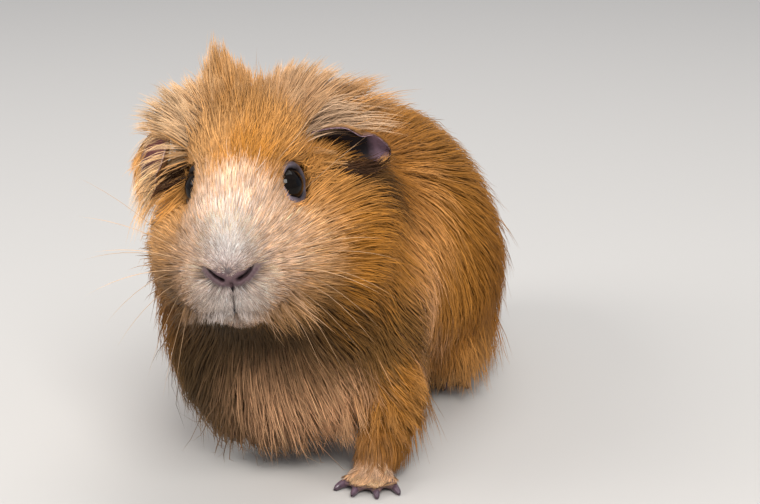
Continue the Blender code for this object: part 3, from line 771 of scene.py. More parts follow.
def build_skin():
    """The skin's mesh in arrays, for each vertex which part it is of and where it is on an ear, and the surface
    of the coat in a tree."""
    outer, tris = outer_surface()
    outer = slim_bridge(outer, tris)
    shell = tree_of(outer, tris)
    skin = shrunk(outer, tris)
    local = to_head(skin[tris].mean(1))
    muzzle = (local[:, 1] < -17) & (abs(local[:, 0] - 0.5) < 12) & (local[:, 2] > -38) & (local[:, 2] < -6)
    skin, tris = refined(skin, tris, muzzle, 3)
    skin = carve_face(smoothed(skin, tris, 3, 0.5, (to_head(skin)[:, 1] < -15).astype(float)))
    skin = seat_eyes(fill_lores(skin, tris))
    parts = [(skin, tris, np.zeros((len(skin), 3)), BODY_KIND)]
    for side in SIDES:
        verts, tris = make_lid(side)
        parts.append((verts, tris, np.zeros((len(verts), 3)), LID_KIND))
    parts += [(*make_ear(side), EAR_KIND) for side in SIDES]
    first = np.cumsum([0] + [len(part[0]) for part in parts])
    return (np.concatenate([part[0] for part in parts]),
            np.concatenate([part[1] + at for part, at in zip(parts, first)]),
            np.concatenate([np.full(len(part[0]), part[3]) for part in parts]),
            np.concatenate([part[2] for part in parts]), shell)


# Painted shade: how bright each eye's rim is painted; the far, right eye's rim is painted much darker.
RIM_PAINTED_SHADE = {"left": 1.0, "right": 0.13}
LEFT_EAR_TINT = np.array([1.05, 0.95, 0.98])
SOLE_HIGH = 1.3


def bare_parts(verts, kind, on_ear):
    """How bare each point of the skin is, from 0 to 1, and the colour of what is bare."""
    local = to_head(verts)
    flat = local[:, [0, 2]]
    bare, colour = np.zeros(len(verts)), np.tile(PINK_SKIN, (len(verts), 1))

    def paint_where(chosen, paint):
        colour[:] = np.where(chosen[:, None], paint, colour)

    # The nose pad, with a ragged edge and painted shade in the nostrils, and the cleft and line of the mouth,
    # painted near black as painted shade.
    front = (local[:, 1] < -22) & (local[:, 2] > -30) & (kind == BODY_KIND)
    pad, _ = along(flat, NOSE_PAD)
    wings = np.minimum(*[along(flat, line)[0] for line in NOSTRILS.values()])
    ragged = 0.5 * np.sin(5.1 * flat[:, 0] + 2) * np.sin(4.3 * flat[:, 1])
    nose = clamp((3.3 + ragged - np.minimum(pad + 0.3, wings + 0.2)) / 1.7) * front
    nose = nose * clamp((-13.6 - local[:, 2]) / 2.6)
    bare = np.maximum(bare, nose)
    # Painted shade: darker along the nostrils.
    paint_where(nose > 0, NOSE_SKIN * (1 - 0.8 * bell(wings, 0.6)[:, None]))
    far, at = along(flat, PHILTRUM)
    cleft = bell(far, 0.45 + 0.3 * at) * front
    lips = bell(along(flat, MOUTH)[0], 0.8) * front
    dark = np.maximum(cleft, lips)
    # Painted shade: the cleft and the line of the mouth, near black.
    paint_where((dark > 0.1) & (nose < 0.5), DARK_SKIN * 0.1)
    bare = np.maximum(bare, clamp(dark * 1.6))

    # The rims of the eyes, darker towards the eyeball and the outer corner, and the far eye's rim much darker
    # as painted shade.
    for side in SIDES:
        centre, out, _, forward = eye_frame(side)
        rel = verts - centre
        high = rel @ out
        wide = np.linalg.norm(rel - high[:, None] * out, axis=1)
        rim = clamp((7.2 - wide) / 0.8) * (high > -3)
        bare = np.maximum(bare, rim)
        tear = (0.62 + 0.38 * np.clip((rel @ forward) / 4, -0.6, 1)) * RIM_PAINTED_SHADE[side]
        paint_where(rim > 0, EYE_SKIN * (tear * (0.3 + 0.7 * clamp((wide - 4.7) / 0.9)))[:, None])

    # The ears: on the left, dark skin painted near black inside the cup as painted shade, and lighter on the
    # lobe and rim as painted light;
    # on the right, pink inside, darker towards the tip, and pale at the rim.
    ear = kind == EAR_KIND
    inner, s, t = on_ear.T
    bare = np.where(ear, 0.25 + 0.75 * inner, bare)
    # Painted shade: marks the inside of the ear's cup, painted dark on the left ear.
    cup_inside_and_shade = clamp((0.84 - s) / 0.12) * clamp((0.95 - abs(t)) / 0.15)
    left = DARK_SKIN * (1.4 - 1.34 * cup_inside_and_shade)[:, None] * LEFT_EAR_TINT
    right = RIGHT_EAR_RIM * (1 - cup_inside_and_shade)[:, None]
    right = right + RIGHT_EAR_SKIN * (cup_inside_and_shade * np.clip(1.3 - 1.9 * s, 0.08, 1))[:, None]
    paint_where(ear, np.where((local[:, 0] < 0)[:, None], right, left))

    # Toes and soles.
    for name in CLAWS:
        far = np.linalg.norm(verts - claw_line(name)[0], axis=1)
        toe = clamp(3.0 - far) * (kind == BODY_KIND)
        bare = np.maximum(bare, toe)
        paint_where(toe > 0, TOE_SKIN)
    sole = (verts[:, 2] < SOLE_HIGH) & (kind == BODY_KIND)
    paint_where(sole, FOOT_SKIN)
    return np.where(sole, 1, bare), colour


def unwrap(obj):
    """A map named OFBake from the skin's own shape."""
    for o in bpy.context.selected_objects:
        o.select_set(False)
    bpy.context.view_layer.objects.active = obj
    obj.select_set(True)
    obj.data.uv_layers.new(name="OFBake")
    bpy.ops.object.mode_set(mode="EDIT")
    bpy.ops.mesh.select_all(action="SELECT")
    bpy.ops.uv.smart_project(angle_limit=radians(66), island_margin=0.002)
    bpy.ops.object.mode_set(mode="OBJECT")
    uv = np.empty(len(obj.data.loops) * 2, np.float32)
    obj.data.uv_layers["OFBake"].uv.foreach_get("vector", uv)
    return uv.reshape(-1, 3, 2)


# ------------------------------------------------------------------ the coat

EAR_COAT_HEIGHT, EAR_COAT_LENGTH, EAR_COAT_STAND = 0.7, 3.5, 0.15


class Skin:
    """The skin's arrays, and what the coat needs to know at each of its points."""

    def __init__(self, verts, tris, kind, on_ear, shell):
        self.verts, self.tris = verts, tris
        self.normals = normals_of(verts, tris)
        calm = smoothed(self.normals, tris, 5)
        self.normals = unit(np.where((kind == BODY_KIND)[:, None], calm, self.normals))
        body = kind != EAR_KIND
        _, _, far = nearest(shell, verts)
        self.height = np.where(body, np.clip(far, 0.25, 12), EAR_COAT_HEIGHT)
        self.length = np.where(body, field(COAT, verts)[:, 1], EAR_COAT_LENGTH)
        self.way, self.raw, self.stand = lie_of_coat(verts, self.normals)
        for side in SIDES:
            mine = (kind == EAR_KIND) & ((to_head(verts)[:, 0] > 0) == (side == "left"))
            out = turned(unit(np.array(EARS[side][1], float)))
            tangent = out - self.normals * (self.normals @ out)[:, None]
            self.way = np.where(mine[:, None], unit(tangent), self.way)
        self.stand = np.where(body, self.stand, EAR_COAT_STAND)
        self.colour = field(MARKINGS, verts)[:, :3]
        self.bare, self.bare_colour = bare_parts(verts, kind, on_ear)


class Ground:
    """A part of the skin that hair grows on: a run of its triangles, in a tree."""

    def __init__(self, skin, uv, first, last):
        self.skin, self.uv, self.first = skin, uv, first
        self.tree = tree_of(skin.verts, skin.tris[first:last])

    def nearest(self, points):
        """Nearest places on it, and the skin's triangles there."""
        place, face, _ = nearest(self.tree, points)
        return place, face + self.first

    def root_values(self, values, face, share):
        """A vertex value at the roots."""
        picked = values[self.skin.tris[face]]
        return (picked * (share[:, :, None] if values.ndim == 2 else share)).sum(1)


def hair_width(length):
    """The width of a hair, which grows with its length."""
    return 0.17 + 0.0072 * length


PIECE_ORDER = np.array([0.25, 1, -0.2])  # hairs go into pieces from the nose back


def choose_roots(ground, weight, count):
    """Random places over the skin, more where weight is more, as triangles and shares of their corners."""
    skin = ground.skin
    a, b, c = (skin.verts[skin.tris[:, k]] for k in range(3))
    area = np.linalg.norm(np.cross(b - a, c - a), axis=1) / 2
    total = np.cumsum(area * weight[skin.tris].mean(1))
    at = (np.arange(count) + rng.random(count)) / count * total[-1]
    face = np.minimum(np.searchsorted(total, at), len(skin.tris) - 1)
    u, v = rng.random(count), rng.random(count)
    over = u + v > 1
    u, v = np.where(over, 1 - u, u), np.where(over, 1 - v, v)
    share = np.stack([1 - u - v, u, v], 1)
    order = np.argsort(skin.verts[skin.tris[face, 0]] @ PIECE_ORDER)
    return face[order], share[order], (ground.uv[face] * share[:, :, None]).sum(1)[order]


FLOOR_BEND, FLOOR_SLOPE, HAIR_LOWEST = 3.5, 0.16, 0.4
EYE_CLEAR, EYE_CLEAR_SPREAD = 6.3, 0.45


def off_floor(paths):
    """Tips that would reach the floor turn along it instead."""
    z = paths[..., 2]
    turned_up = np.maximum(FLOOR_BEND - (FLOOR_BEND - z) * FLOOR_SLOPE, HAIR_LOWEST)
    paths[..., 2] = np.where(z < FLOOR_BEND, turned_up, z)
    return paths


def off_eyes(paths):
    """Hairs that would cross an eye pass round its rim instead, some closer than others."""
    clear = EYE_CLEAR + rng.normal(0, EYE_CLEAR_SPREAD, (len(paths), 1))
    for side in SIDES:
        centre, out, _, _ = eye_frame(side)
        rel = paths - centre
        high = rel @ out
        flat = rel - high[..., None] * out
        wide = np.linalg.norm(flat, axis=-1)
        short = np.where((high > -3) & (wide < clear), clear - wide, 0)
        paths = paths + flat / np.maximum(wide, 0.5)[..., None] * short[..., None]
    return paths


CHEST = np.array([4, -66, 26])  # where the coat is fluffiest


def grow(ground, face, share, length, layer, steps, frizz, lift):
    """The paths of hairs from root to tip, and the skin's normals under them. They march over the skin the way
    the coat lies, rise to the coat's depth, and leave it where the coat stands."""
    skin = ground.skin
    place, way, raw, stand, normal = (ground.root_values(values, face, share) for values in
                                      (skin.verts, skin.way, skin.raw, skin.stand, skin.normals))
    normal = unit(normal)
    way = along_skin(unit(way + rng.normal(0, 0.12, place.shape)), normal)
    raw = unit(raw + rng.normal(0, 0.15, place.shape))
    stand = clamp(stand + rng.normal(lift, 0.04 + 0.4 * lift, len(place)))[:, None]
    frizz = frizz * (1 + 2.2 * bell(np.linalg.norm(place - CHEST, axis=1), 28))
    step = (length / steps)[:, None]
    hug, free, paths, normals = place, place.copy(), [place - 0.15 * normal], [normal]
    sway = unit(rng.normal(0, 1, place.shape))
    sway = sway * (frizz * length / 28 * np.abs(rng.normal(0, 1, len(place))))[:, None]
    for k in range(1, steps + 1):
        t = k / steps
        hug, found = ground.nearest(hug + way * step)
        corner = skin.tris[found]
        normal = unit(skin.normals[corner].mean(1))
        way = along_skin(unit(0.6 * way + 0.4 * skin.way[corner].mean(1)), normal)
        height = skin.height[corner].mean(1) * layer * (1 - (1 - t) ** 1.7)
        free = free + unit(raw + normals[0] * 0.35 + np.array([0, 0, -0.10 * t])) * step
        path = (hug + normal * (height + 0.05)[:, None]) * (1 - stand) + free * stand
        paths.append(path + sway * t ** 1.5)
        normals.append(normal)
    return off_floor(np.stack(paths, 1)), np.stack(normals, 1)


def gather(paths, size, pull):
    """Hairs drawn together into locks: each bends towards its lock's own hair, more towards the tip."""
    count = max(1, int(len(paths) / size))
    leaders = rng.choice(len(paths), count, replace=False)
    tree = KDTree(count)
    for i, lead in enumerate(leaders.tolist()):
        tree.insert(paths[lead, 0].tolist(), i)
    tree.balance()
    mine = leaders[[tree.find(p)[1] for p in paths[:, 0].tolist()]]
    t = np.linspace(0, 1, paths.shape[1])[None, :, None] ** 1.4
    draw = (pull * (0.5 + 0.5 * rng.random(len(paths))))[:, None, None] * t
    return paths + (paths[mine] - paths) * draw, mine


TUBE = np.radians([90, 210, 330])
DARK_SHARE = 0.06  # of the hairs
ROOT_PAINTED_SHADE = 0.42  # painted shade: how bright a hair is painted at its root, unless its kind says otherwise
PATCH_WIDE, PATCH_LONG = 0.0012, 0.0026  # of a hair on the map


def strands(paths, normals, width, colour, tip, lock, uv, root_shade=ROOT_PAINTED_SHADE):
    """Closed, tapered, three-sided hairs in arrays: vertices, triangles, soft normals, colours and map. The
    last
    argument is painted shade: how bright they are at the root, growing brighter towards the tip."""
    n, rings = len(paths), paths.shape[1] - 1
    tangent = unit(np.gradient(paths, axis=1))
    side = unit(np.cross(tangent, normals))
    top = np.cross(side, tangent)
    t = np.linspace(0, 1, rings + 1)
    radius = width[:, None] / 2 * np.interp(t, [0, 0.3, 0.7, 1], [0.8, 1, 0.7, 0])[None]
    verts, soft = np.empty((n, rings * 3 + 1, 3)), np.empty((n, rings * 3 + 1, 3))
    for k in range(rings):
        for j, a in enumerate(TUBE):
            out = cos(a) * side[:, k] + 0.7 * sin(a) * top[:, k]
            verts[:, k * 3 + j] = paths[:, k] + radius[:, k, None] * out
            soft[:, k * 3 + j] = unit(0.75 * out + normals[:, k] + 0.25 * top[:, k])
    verts[:, -1], soft[:, -1] = paths[:, -1], unit(normals[:, -1] + 0.25 * top[:, -1])
    one = [(0, 1, 2)]
    for k in range(rings - 1):
        for j in range(3):
            a, b = k * 3 + j, k * 3 + (j + 1) % 3
            one += [(a, b + 3, b), (a, a + 3, b + 3)]
    last = (rings - 1) * 3
    one += [(last + (j + 1) % 3, last + j, rings * 3) for j in range(3)]
    tris = (np.array(one)[None] + (np.arange(n) * (rings * 3 + 1))[:, None, None]).reshape(-1, 3)
    bright = np.exp(rng.normal(0, 0.17, n)) * lock * np.where(rng.random(n) < DARK_SHARE, 0.6, 1)
    level = np.concatenate([np.repeat(t[:rings], 3), [1.0]])
    # Painted shade: each hair darker at its root and brighter at its tip.
    shade = np.interp(level, [0, 0.35, 1], [root_shade, root_shade / 2 + 0.71, 1.35 - root_shade / 2])
    tint = colour[:, None] * shade[None, :, None] * bright[:, None, None]
    paleness = (tip[:, None] * np.interp(level, [0, 0.45, 1], [0, 0.15, 1])[None])[:, :, None]
    tint = tint * (1 - paleness) + PALE_TIP * bright[:, None, None] * paleness
    across = np.concatenate([np.tile([-1, 0, 1], rings), [0]]) * PATCH_WIDE
    down = level * PATCH_LONG - PATCH_LONG / 2
    patch = uv[:, None] + np.stack([np.tile(across, (n, 1)), np.tile(down, (n, 1))], 2)
    verts, soft, tint = (values.reshape(-1, 3) for values in (verts, soft, clamp(tint)))
    return verts, tris, soft, tint, clamp(patch).reshape(-1, 2)


PIECE_TRIANGLES = 180000


def coat_piece(name, slot, verts, tris, soft, tint, uv):
    """A piece of the coat, from what strands gives."""
    mesh = write_mesh(name, verts, tris)
    paint(mesh, tint)
    layer = mesh.uv_layers.new(name="OFBake")
    layer.uv.foreach_set("vector", uv[tris.ravel()].astype(np.float32).ravel())
    mesh.normals_split_custom_set_from_vertices(soft.tolist())
    mesh.materials.append(FUR[slot])
    piece = new_object(name, mesh)
    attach(piece, "root")
    return piece


def write_coat(name, slot, paths, normals, width, roots, lock, uv, jitter, paler=0.0, streaks=0.0, tint=None,
               root_shade=ROOT_PAINTED_SHADE):
    """Hairs as one or more pieces, each with as many triangles as a piece may have. They take the markings'
    colour near their roots, or the tint."""
    count, steps = len(paths), paths.shape[1] - 1
    paths = off_eyes(paths)
    marks = field(MARKINGS, roots + rng.normal(0, jitter, roots.shape))
    if tint is not None:
        marks[:, :3], marks[:, 3] = tint, 0
    tip = clamp(marks[:, 3] + paler)
    plain = np.maximum(bell(off_axis(roots, 0.5, -31, -23), 10), bell(off_axis(roots, 0.9, -32, -12), 6))
    streak = (streaks * rng.random(count) ** 1.5 * (1 - plain))[:, None]
    bright = marks[:, :3].mean(1, keepdims=True) / GOLD.mean()
    marks[:, :3] = marks[:, :3] * (1 - streak) + STREAK * bright * 1.1 * streak
    parts = -(-count * (6 * (steps - 1) + 4) // PIECE_TRIANGLES)
    made = []
    for i in range(parts):
        cut = slice(count * i // parts, count * (i + 1) // parts)
        rows = (values[cut] for values in (paths, normals, width, marks[:, :3], tip, lock, uv))
        arrays = strands(*rows, root_shade)
        made.append(coat_piece(f"{name}_{i + 1}" if parts > 1 else name, slot, *arrays))
    return made


def coat(name, slot, ground, weight, count, steps, size, pull, frizz, reach=1.0, under=0.25, coarse=1.0,
         streaks=0.0, contrast=0.07, lift=0.0, root_shade=ROOT_PAINTED_SHADE):
    """One kind of coat over part of the skin: count hairs of so many steps, in locks of about size hairs. under
    is the share of short hairs beneath the rest."""
    face, share, uv = choose_roots(ground, weight, count)
    length = ground.root_values(ground.skin.length, face, share)
    length = length * np.clip(rng.normal(0.95, 0.16, count), 0.4, 1.35) * reach
    low = rng.random(count) < under
    length = np.where(low, length * 0.6, length)
    layer = np.where(low, 0.45, 0.5 + 0.6 * rng.random(count))
    paths, normals = grow(ground, face, share, length, layer, steps, frizz, lift)
    roots = paths[:, 0].copy()
    paths, mine = gather(paths, size, pull)
    width = hair_width(length) * (0.75 + 0.5 * rng.random(count)) * coarse
    lock = np.exp(rng.normal(0, contrast, count))[mine] * np.exp(rng.normal(0, contrast, count))
    return write_coat(name, slot, paths, normals, width, roots, lock, uv, 2.0, streaks=streaks, root_shade=root_shade)


# Locks that stand out of the coat, in the head's frame: root, tip, how far the middle bows, hairs, the spread
# of the roots and of the tips.
CREST = [
    ((-5, 13, 17), (-8.6, 18, 39.5), (-2, 1, 2), 110, 2.6, 0.9),
    ((-3, 14, 18), (-6.2, 18, 37.5), (-1, 1, 2), 100, 2.6, 0.9),
    ((-7, 14, 17), (-11, 17, 34.5), (-2, 0, 2), 90, 2.4, 1),
    ((-2, 12, 17), (-4, 17, 34.5), (-0.5, 0, 2), 90, 2.4, 0.9),
    ((-1, 14, 18), (-1.4, 17, 32.5), (0, 0, 2), 90, 2.2, 0.9),
    ((1, 14, 18), (1, 17, 30.8), (0, 0, 2), 80, 2.2, 0.9),
    ((-8, 12, 16), (-13, 14.6, 29.5), (-1.5, -1, 2), 80, 2.4, 1),
    ((-4, 10, 16), (-7.5, 13, 30), (-1, -2, 1), 90, 2.8, 1.2),
    ((0, 10, 16), (-1.5, 13, 27.5), (0, -2, 1), 80, 2.6, 1.2),
    ((-5, 16, 18), (-9, 22, 35), (-1, 2, 1), 80, 2.6, 1.2),
    ((-2, 18, 18), (-3, 25, 31), (0, 2, 1), 80, 2.6, 1.4),
    ((2, 18, 18), (3.5, 25, 28), (0, 2, 1), 70, 2.4, 1.4),
    ((6, 13, 17), (7.5, 17.5, 28.5), (0.5, -1, 2), 80, 2.2, 0.9),
    ((8, 14, 17), (10.5, 18, 31), (0.5, -1, 2.5), 90, 2.4, 1),
    ((10, 14, 17), (14.5, 19, 32), (0, -1, 3), 90, 2.4, 1),
    ((11, 15, 17), (18.5, 20, 31.8), (0, -1, 4), 90, 2.6, 1.1),
    ((13, 15, 16), (22.5, 21, 31), (0, -1, 4.5), 90, 2.6, 1.1),
    ((15, 16, 15), (27, 23, 28.5), (0, -1, 5), 90, 2.8, 1.2),
    ((16, 17, 14), (31, 26, 25.5), (0, -1, 5), 90, 2.8, 1.4),
    ((12, 20, 16), (24, 30, 27), (0, 1, 4), 90, 3, 1.6), ((8, 19, 18), (14, 27, 29), (0, 1, 3), 80, 3, 1.6),
    ((16, 21, 13), (33, 31, 20), (0, 1, 5), 90, 3, 1.8), ((6, 10, 16), (9, 14, 25), (0, -2, 1), 80, 2.8, 1.2),
    ((11, 11, 15), (17, 15, 25), (0, -2, 2), 80, 2.8, 1.4),
    ((15, 12, 13), (25, 17, 22.5), (0, -2, 3), 80, 2.6, 1.4),
    ((-10, 13, 15), (-17, 14, 29.5), (-1, -1, 3), 80, 2.4, 1.2),
    ((-12, 13, 14), (-21.5, 12.5, 28), (-1, -1, 4), 80, 2.4, 1.2),
    ((-14, 13, 13), (-26, 13, 27), (-1, -1, 4), 80, 2.4, 1.3),
    ((-15, 13, 12), (-29.5, 11, 24), (-1, -1, 4), 80, 2.4, 1.3),
    ((-16, 13, 11), (-32, 10, 20.5), (-1, -1, 4.5), 80, 2.4, 1.3),
    ((-17, 13, 10), (-33.5, 9, 16), (-1, -1, 5), 80, 2.4, 1.3),
    ((-12, 17, 15), (-22, 22, 25), (-1, 1, 4), 80, 2.8, 1.6),
    ((-9, 18, 17), (-14, 25, 28), (-1, 1, 3), 80, 2.8, 1.6),
    ((16, 22, 13), (36, 29, 24), (0, 0, 4), 90, 3, 2),
    ((19, 23, 10), (41, 29, 19), (0, 0, 4), 90, 3, 2), ((17, 25, 12), (38, 36, 22), (0, 0, 4), 90, 3, 2),
    ((20, 26, 8), (45, 36, 15), (0, 0, 4), 90, 3, 2.2),
    ((-11, 9, 13), (-18, 9, 23), (-1, -2, 2), 80, 2.6, 1.4),
    ((-15, 9, 11), (-25, 8, 17), (-1, -2, 3), 80, 2.4, 1.4),
]
# Rows over the forehead: how far back and how high, how much lower at the sides, how far the tips go and
# rise, hairs, half width.
FOREHEAD_ROWS = [
    (-13.5, 12.2, 0.95, 6.5, 4, 16, 6.5), (-10, 14, 0.8, 8, 5.5, 24, 8.5), (-6, 15.3, 0.55, 9.5, 7, 36, 11),
    (-1.5, 16.3, 0.40, 10, 9, 42, 13), (3.5, 17.2, 0.35, 10, 10.5, 50, 13),
]
FOREHEAD = []
for back, high, fall, go, rise, hairs, half in FOREHEAD_ROWS:
    for off in np.arange(-half, half + 0.1, 2.2):
        root = np.array([1.8 + off, back + 0.02 * off * off, high - fall * abs(off)])
        reach = np.array([0.34 * (off + 0.8), go, rise - 0.22 * abs(off)])
        FOREHEAD.append((root, root + reach, (0.1 * off, -0.8, 0.6), hairs, 3.2, 2.4))
# Hair that falls over the ears and out of them.
EAR_LOCKS = [
    ((-20, 13, 10), (-35, 8, 3), (-4, -1, 4), 9, 2.2, 2),
    ((-20, 13, 8), (-35.5, 7, -5), (-6, -1, 4), 12, 2.2, 2),
    ((-21, 13, 7), (-35, 6, -11), (-6, -1, 3), 26, 2.2, 2.2),
    ((-22, 12, 4), (-34, 6, -16), (-6, -1, 2), 30, 2.2, 2.4),
    ((-18, 10, 12), (-31, 9, 10), (0, -2, 1), 7, 1.6, 1.4),
    ((-18, 10, 9), (-31, 8.5, 6), (0, -2, 1), 5, 1.6, 1.4),
    ((-18, 9, 6), (-30.5, 8, 1.5), (0, -2, 0.5), 5, 1.6, 1.4),
    ((18, 12, 7), (28, 15, 4.5), (0, -2, 1), 7, 1.2, 1),
    ((19, 12, 4), (32, 17, 0.5), (0, -2, 0.5), 7, 1.2, 1),
]
# Pale hair that droops from the crest over the right ear and past its edge.
DROOP_LOCKS = [
    ((-19, 14, 15), (-34.5, 13, 9), (-3, 0, 6), 34, 2, 1),
    ((-19, 13, 12), (-35.5, 12, 4), (-4, -1, 3), 7, 2.6, 1.6),
    ((-20, 13, 9), (-36, 11, -4), (-5, -1, 2), 14, 2.4, 1.6),
    ((-21, 13, 8), (-36, 10, -8), (-5, -1, 2.5), 44, 2.4, 1.8),
    ((-21, 13, 5), (-35, 9, -14), (-5, -1, 2), 44, 2.4, 2),
]
# The pale curl over the left ear.
CURL_LOCKS = [
    ((17, 14, 12), (36, 24, 15), (-3, -1, 8), 36, 2.6, 2.6),
    ((18, 15, 12), (40, 27, 13), (-3, -1, 7), 36, 2.6, 2.8),
    ((16, 13, 13), (32, 22, 18), (-2.5, -1, 7), 36, 2.8, 3),
    ((18, 16, 11), (44, 30, 10), (-2, 0, 5), 30, 2.4, 2.8),
    ((17, 14, 11), (31, 19, 11.5), (-1, -2, 3.5), 34, 1.8, 1.8),
    ((20, 18, 12), (40, 32, 15), (-3, 0, 7), 30, 2.8, 3),
]
# Dark hair in front of the right ear, and golden hair under it; the dark locks under the left ear are painted
# shadow.
DARK_AND_SHADOW_LOCKS = [
    ((-21, 10, 4), (-32, 8, -1), (-1, -2, 0.5), 30, 1.8, 1.6),
    ((-21, 9.5, 1), (-31.5, 7, -4), (-1, -2, 0.5), 34, 1.8, 1.6),
    # Painted shadow under the left ear, as dark locks.
    ((25, 12, 2.5), (38.5, 20, 2), (1, -1.8, 0), 50, 1.8, 1.4),
    ((27, 13, 0.5), (39.5, 20, -0.5), (1, -1.8, 0), 50, 1.8, 1.4),
    ((29, 15, 1), (42, 22, 1), (1, -1.8, 0), 40, 1.8, 1.4),
]
GOLD_LOCKS = [
    ((-18, 7, -1), (-28, 5, -8), (-1, -2, 0.5), 40, 1.8, 2),
    ((-17.5, 5.5, -4), (-28, 3.5, -13), (-1, -2, 0.5), 40, 1.8, 2),
    ((-17, 4, -7), (-27, 1.5, -17), (-1, -2, 0.5), 40, 1.8, 2),
]

# Hair that hangs over the edge of the lip.
LIP_LOCKS = []
for x in (-12, -10, -8, -6, -4.4, -2.9, 3.4, 4.8, 6.2, 8, 10, 12):
    back, low = 0.035 * x * x, 0.012 * x * x
    LIP_LOCKS.append(((x, -29.8 + back, -28.4 + low), (x * 1.25, -29.3 + back, -31.9 - low), (0, -0.8, 0.3),
                      16 + abs(x), 1.0, 0.8))
LIP_LOCKS += [
    ((11, -24, -27), (18, -21, -38), (0.5, -0.6, 0.3), 26, 2, 2.4),
    ((13, -22, -25), (22, -17, -37), (0.5, -0.6, 0.4), 26, 2, 2.4),
    ((9, -25, -29), (14, -24, -38), (0.3, -0.6, 0.3), 24, 2, 2.2),
    ((-11, -24, -27), (-15, -21, -35), (-0.5, -0.6, 0.3), 20, 2, 2),
]

# The fluffy end of the foreleg's coat, in the row frame.
LEG_LOCKS = [
    ((39, -44, 34), (48, -43, 28), (2, 0, 2), 50, 2.4, 1.6),
    ((39, -44, 31), (48, -43.5, 24), (2, 0, 2), 50, 2.4, 1.6),
    ((38, -45, 27), (47.5, -44.5, 19.5), (2, -1, 1.5), 50, 2.4, 1.6),
    ((38, -46, 23), (46, -46, 15.5), (2, -1, 1), 50, 2.4, 1.6),
    ((37, -48, 19), (43.5, -48.5, 11), (2, -1, 1), 50, 2.2, 1.4),
    ((36, -50, 18), (40, -52, 9.5), (1, -2, 1), 50, 2.2, 1.4),
    ((34, -53, 19), (35, -57, 10), (0, -2, 1), 50, 2.2, 1.4),
    ((31, -54, 19), (30.5, -57, 10), (-0.5, -2, 1), 50, 2.2, 1.4),
    ((29, -54, 21), (28, -55.5, 10.5), (-0.4, -1.2, 0.5), 50, 2, 1.4),
    ((28.5, -54, 25), (27.5, -56, 15), (-0.4, -1.2, 0.5), 40, 2, 1.4),
    ((34, -54, 27), (35, -58, 17), (0, -2, 1), 50, 2.4, 1.6),
    ((37, -50, 26), (41, -53, 17), (1, -2, 1), 50, 2.4, 1.6),
]

# The hem over the hind foot, the hair before it and behind the heels, and the hair between the forelegs.
for y in range(16, 62, 4):
    rise = 0.05 * (30 - y) ** 2 * (y < 30)
    LEG_LOCKS.append(((44.5, y, 25), (44.0 - 0.08 * (y - 30), y + 1, 3.5 + rise), (2.0, 0, 1), 44, 4.6, 4.6))
LEG_LOCKS += [((x, 25, 20), (x + 1, 24, 3.4), (0.5, -1, 1), 44, 4.6, 3.4) for x in range(22, 46, 4)]
LEG_LOCKS += [((x, 81, 20), (x * 1.01, 88, 4.5), (0, 1, 0.5), 44, 2.8, 1.5)
              for x in (25, 29, 33, 37, -29, -33, -37, -41)]
LEG_LOCKS += [
    ((25, -54, 23), (27.5, -51, 10), (0, -0.5, 0), 44, 2.6, 2.4),
    ((22, -55, 21), (25, -52, 9.5), (0, -0.5, 0), 40, 2.6, 2.4),
]


def edge_rows():
    """Short locks along the lower edge of each ear."""
    rows = []
    for side, flare in zip(SIDES, ((0, -0.8, -0.6), (-2.2, -0.8, -1.2))):
        for s in np.linspace(0.2, 0.86, 9):
            ends, _ = ear_sheet(side, np.array([s, min(1.0, s + 0.28)]), np.array([0.96, 0.98]))
            rows.append((ends[0], ends[1] + flare, (0, -0.6, -0.4), 24, 1.0, 0.8))
    return rows


def toe_rows():
    """Two tufts over each toe, down to its claw."""
    rows = []
    for name in CLAWS:
        root, along = claw_way(name)
        for back, reach, high in ((8, 3.5, 1.2), (5.5, 0.3, 1.0)):
            ends = root - back * along + (0, 0, 3.5), root - reach * along + (0, 0, 1.9)
            rows.append((*ends, (0, 0, high), 22, 1.5, 0.8))
    return rows


LOCK_LIGHT = np.array([0.1, -0.7, 0.6])  # the way the locks' soft normals lean


def locks(name, slot, ground, rows, steps, thin, paler, of_head=True, tint=None):
    """Locks of hair along curves from root to tip."""
    parts = []
    for root, tip, bow, count, wide, narrow in rows:
        count = int(count * 1.5)
        if of_head:
            root, tip, bow = from_head(root), from_head(tip), turned(bow)
        root, tip, bow = map(np.array, (root, tip, bow))
        spread = rng.normal(0, 1, (count, 3)) * wide / 1.6
        foot, face = ground.nearest(root + spread)
        out = unit(ground.skin.normals[ground.skin.tris[face]].mean(1))
        t = np.linspace(0, 1, steps + 1)[None, :, None]
        share = np.clip(rng.normal(0.88, 0.13, count), 0.45, 1.12)[:, None, None]
        tips = tip + rng.normal(0, 1, (count, 3)) * narrow / 1.4 + (foot - root) * 0.22
        bend = (foot + tips) / 2 + bow + rng.normal(0, 0.5, (count, 3)) + out
        s = t * share
        path = (1 - s) ** 2 * foot[:, None] + 2 * s * (1 - s) * bend[:, None] + s ** 2 * tips[:, None]
        width = hair_width(np.linalg.norm(tips - foot, axis=1)) * (0.6 + 0.45 * rng.random(count)) * thin
        shade = np.full(count, np.exp(rng.normal(0, 0.06)))
        lit = unit(out + LOCK_LIGHT * (0.3 + 0.7 * float(clamp(-to_head(root)[0] / 14))))
        normals = np.repeat(lit[:, None], steps + 1, 1)
        parts.append((off_floor(path), normals, width, foot, shade, ground.uv[face].mean(1)))
    return write_coat(name, slot, *map(np.concatenate, zip(*parts)), 1.0, paler, tint=tint)


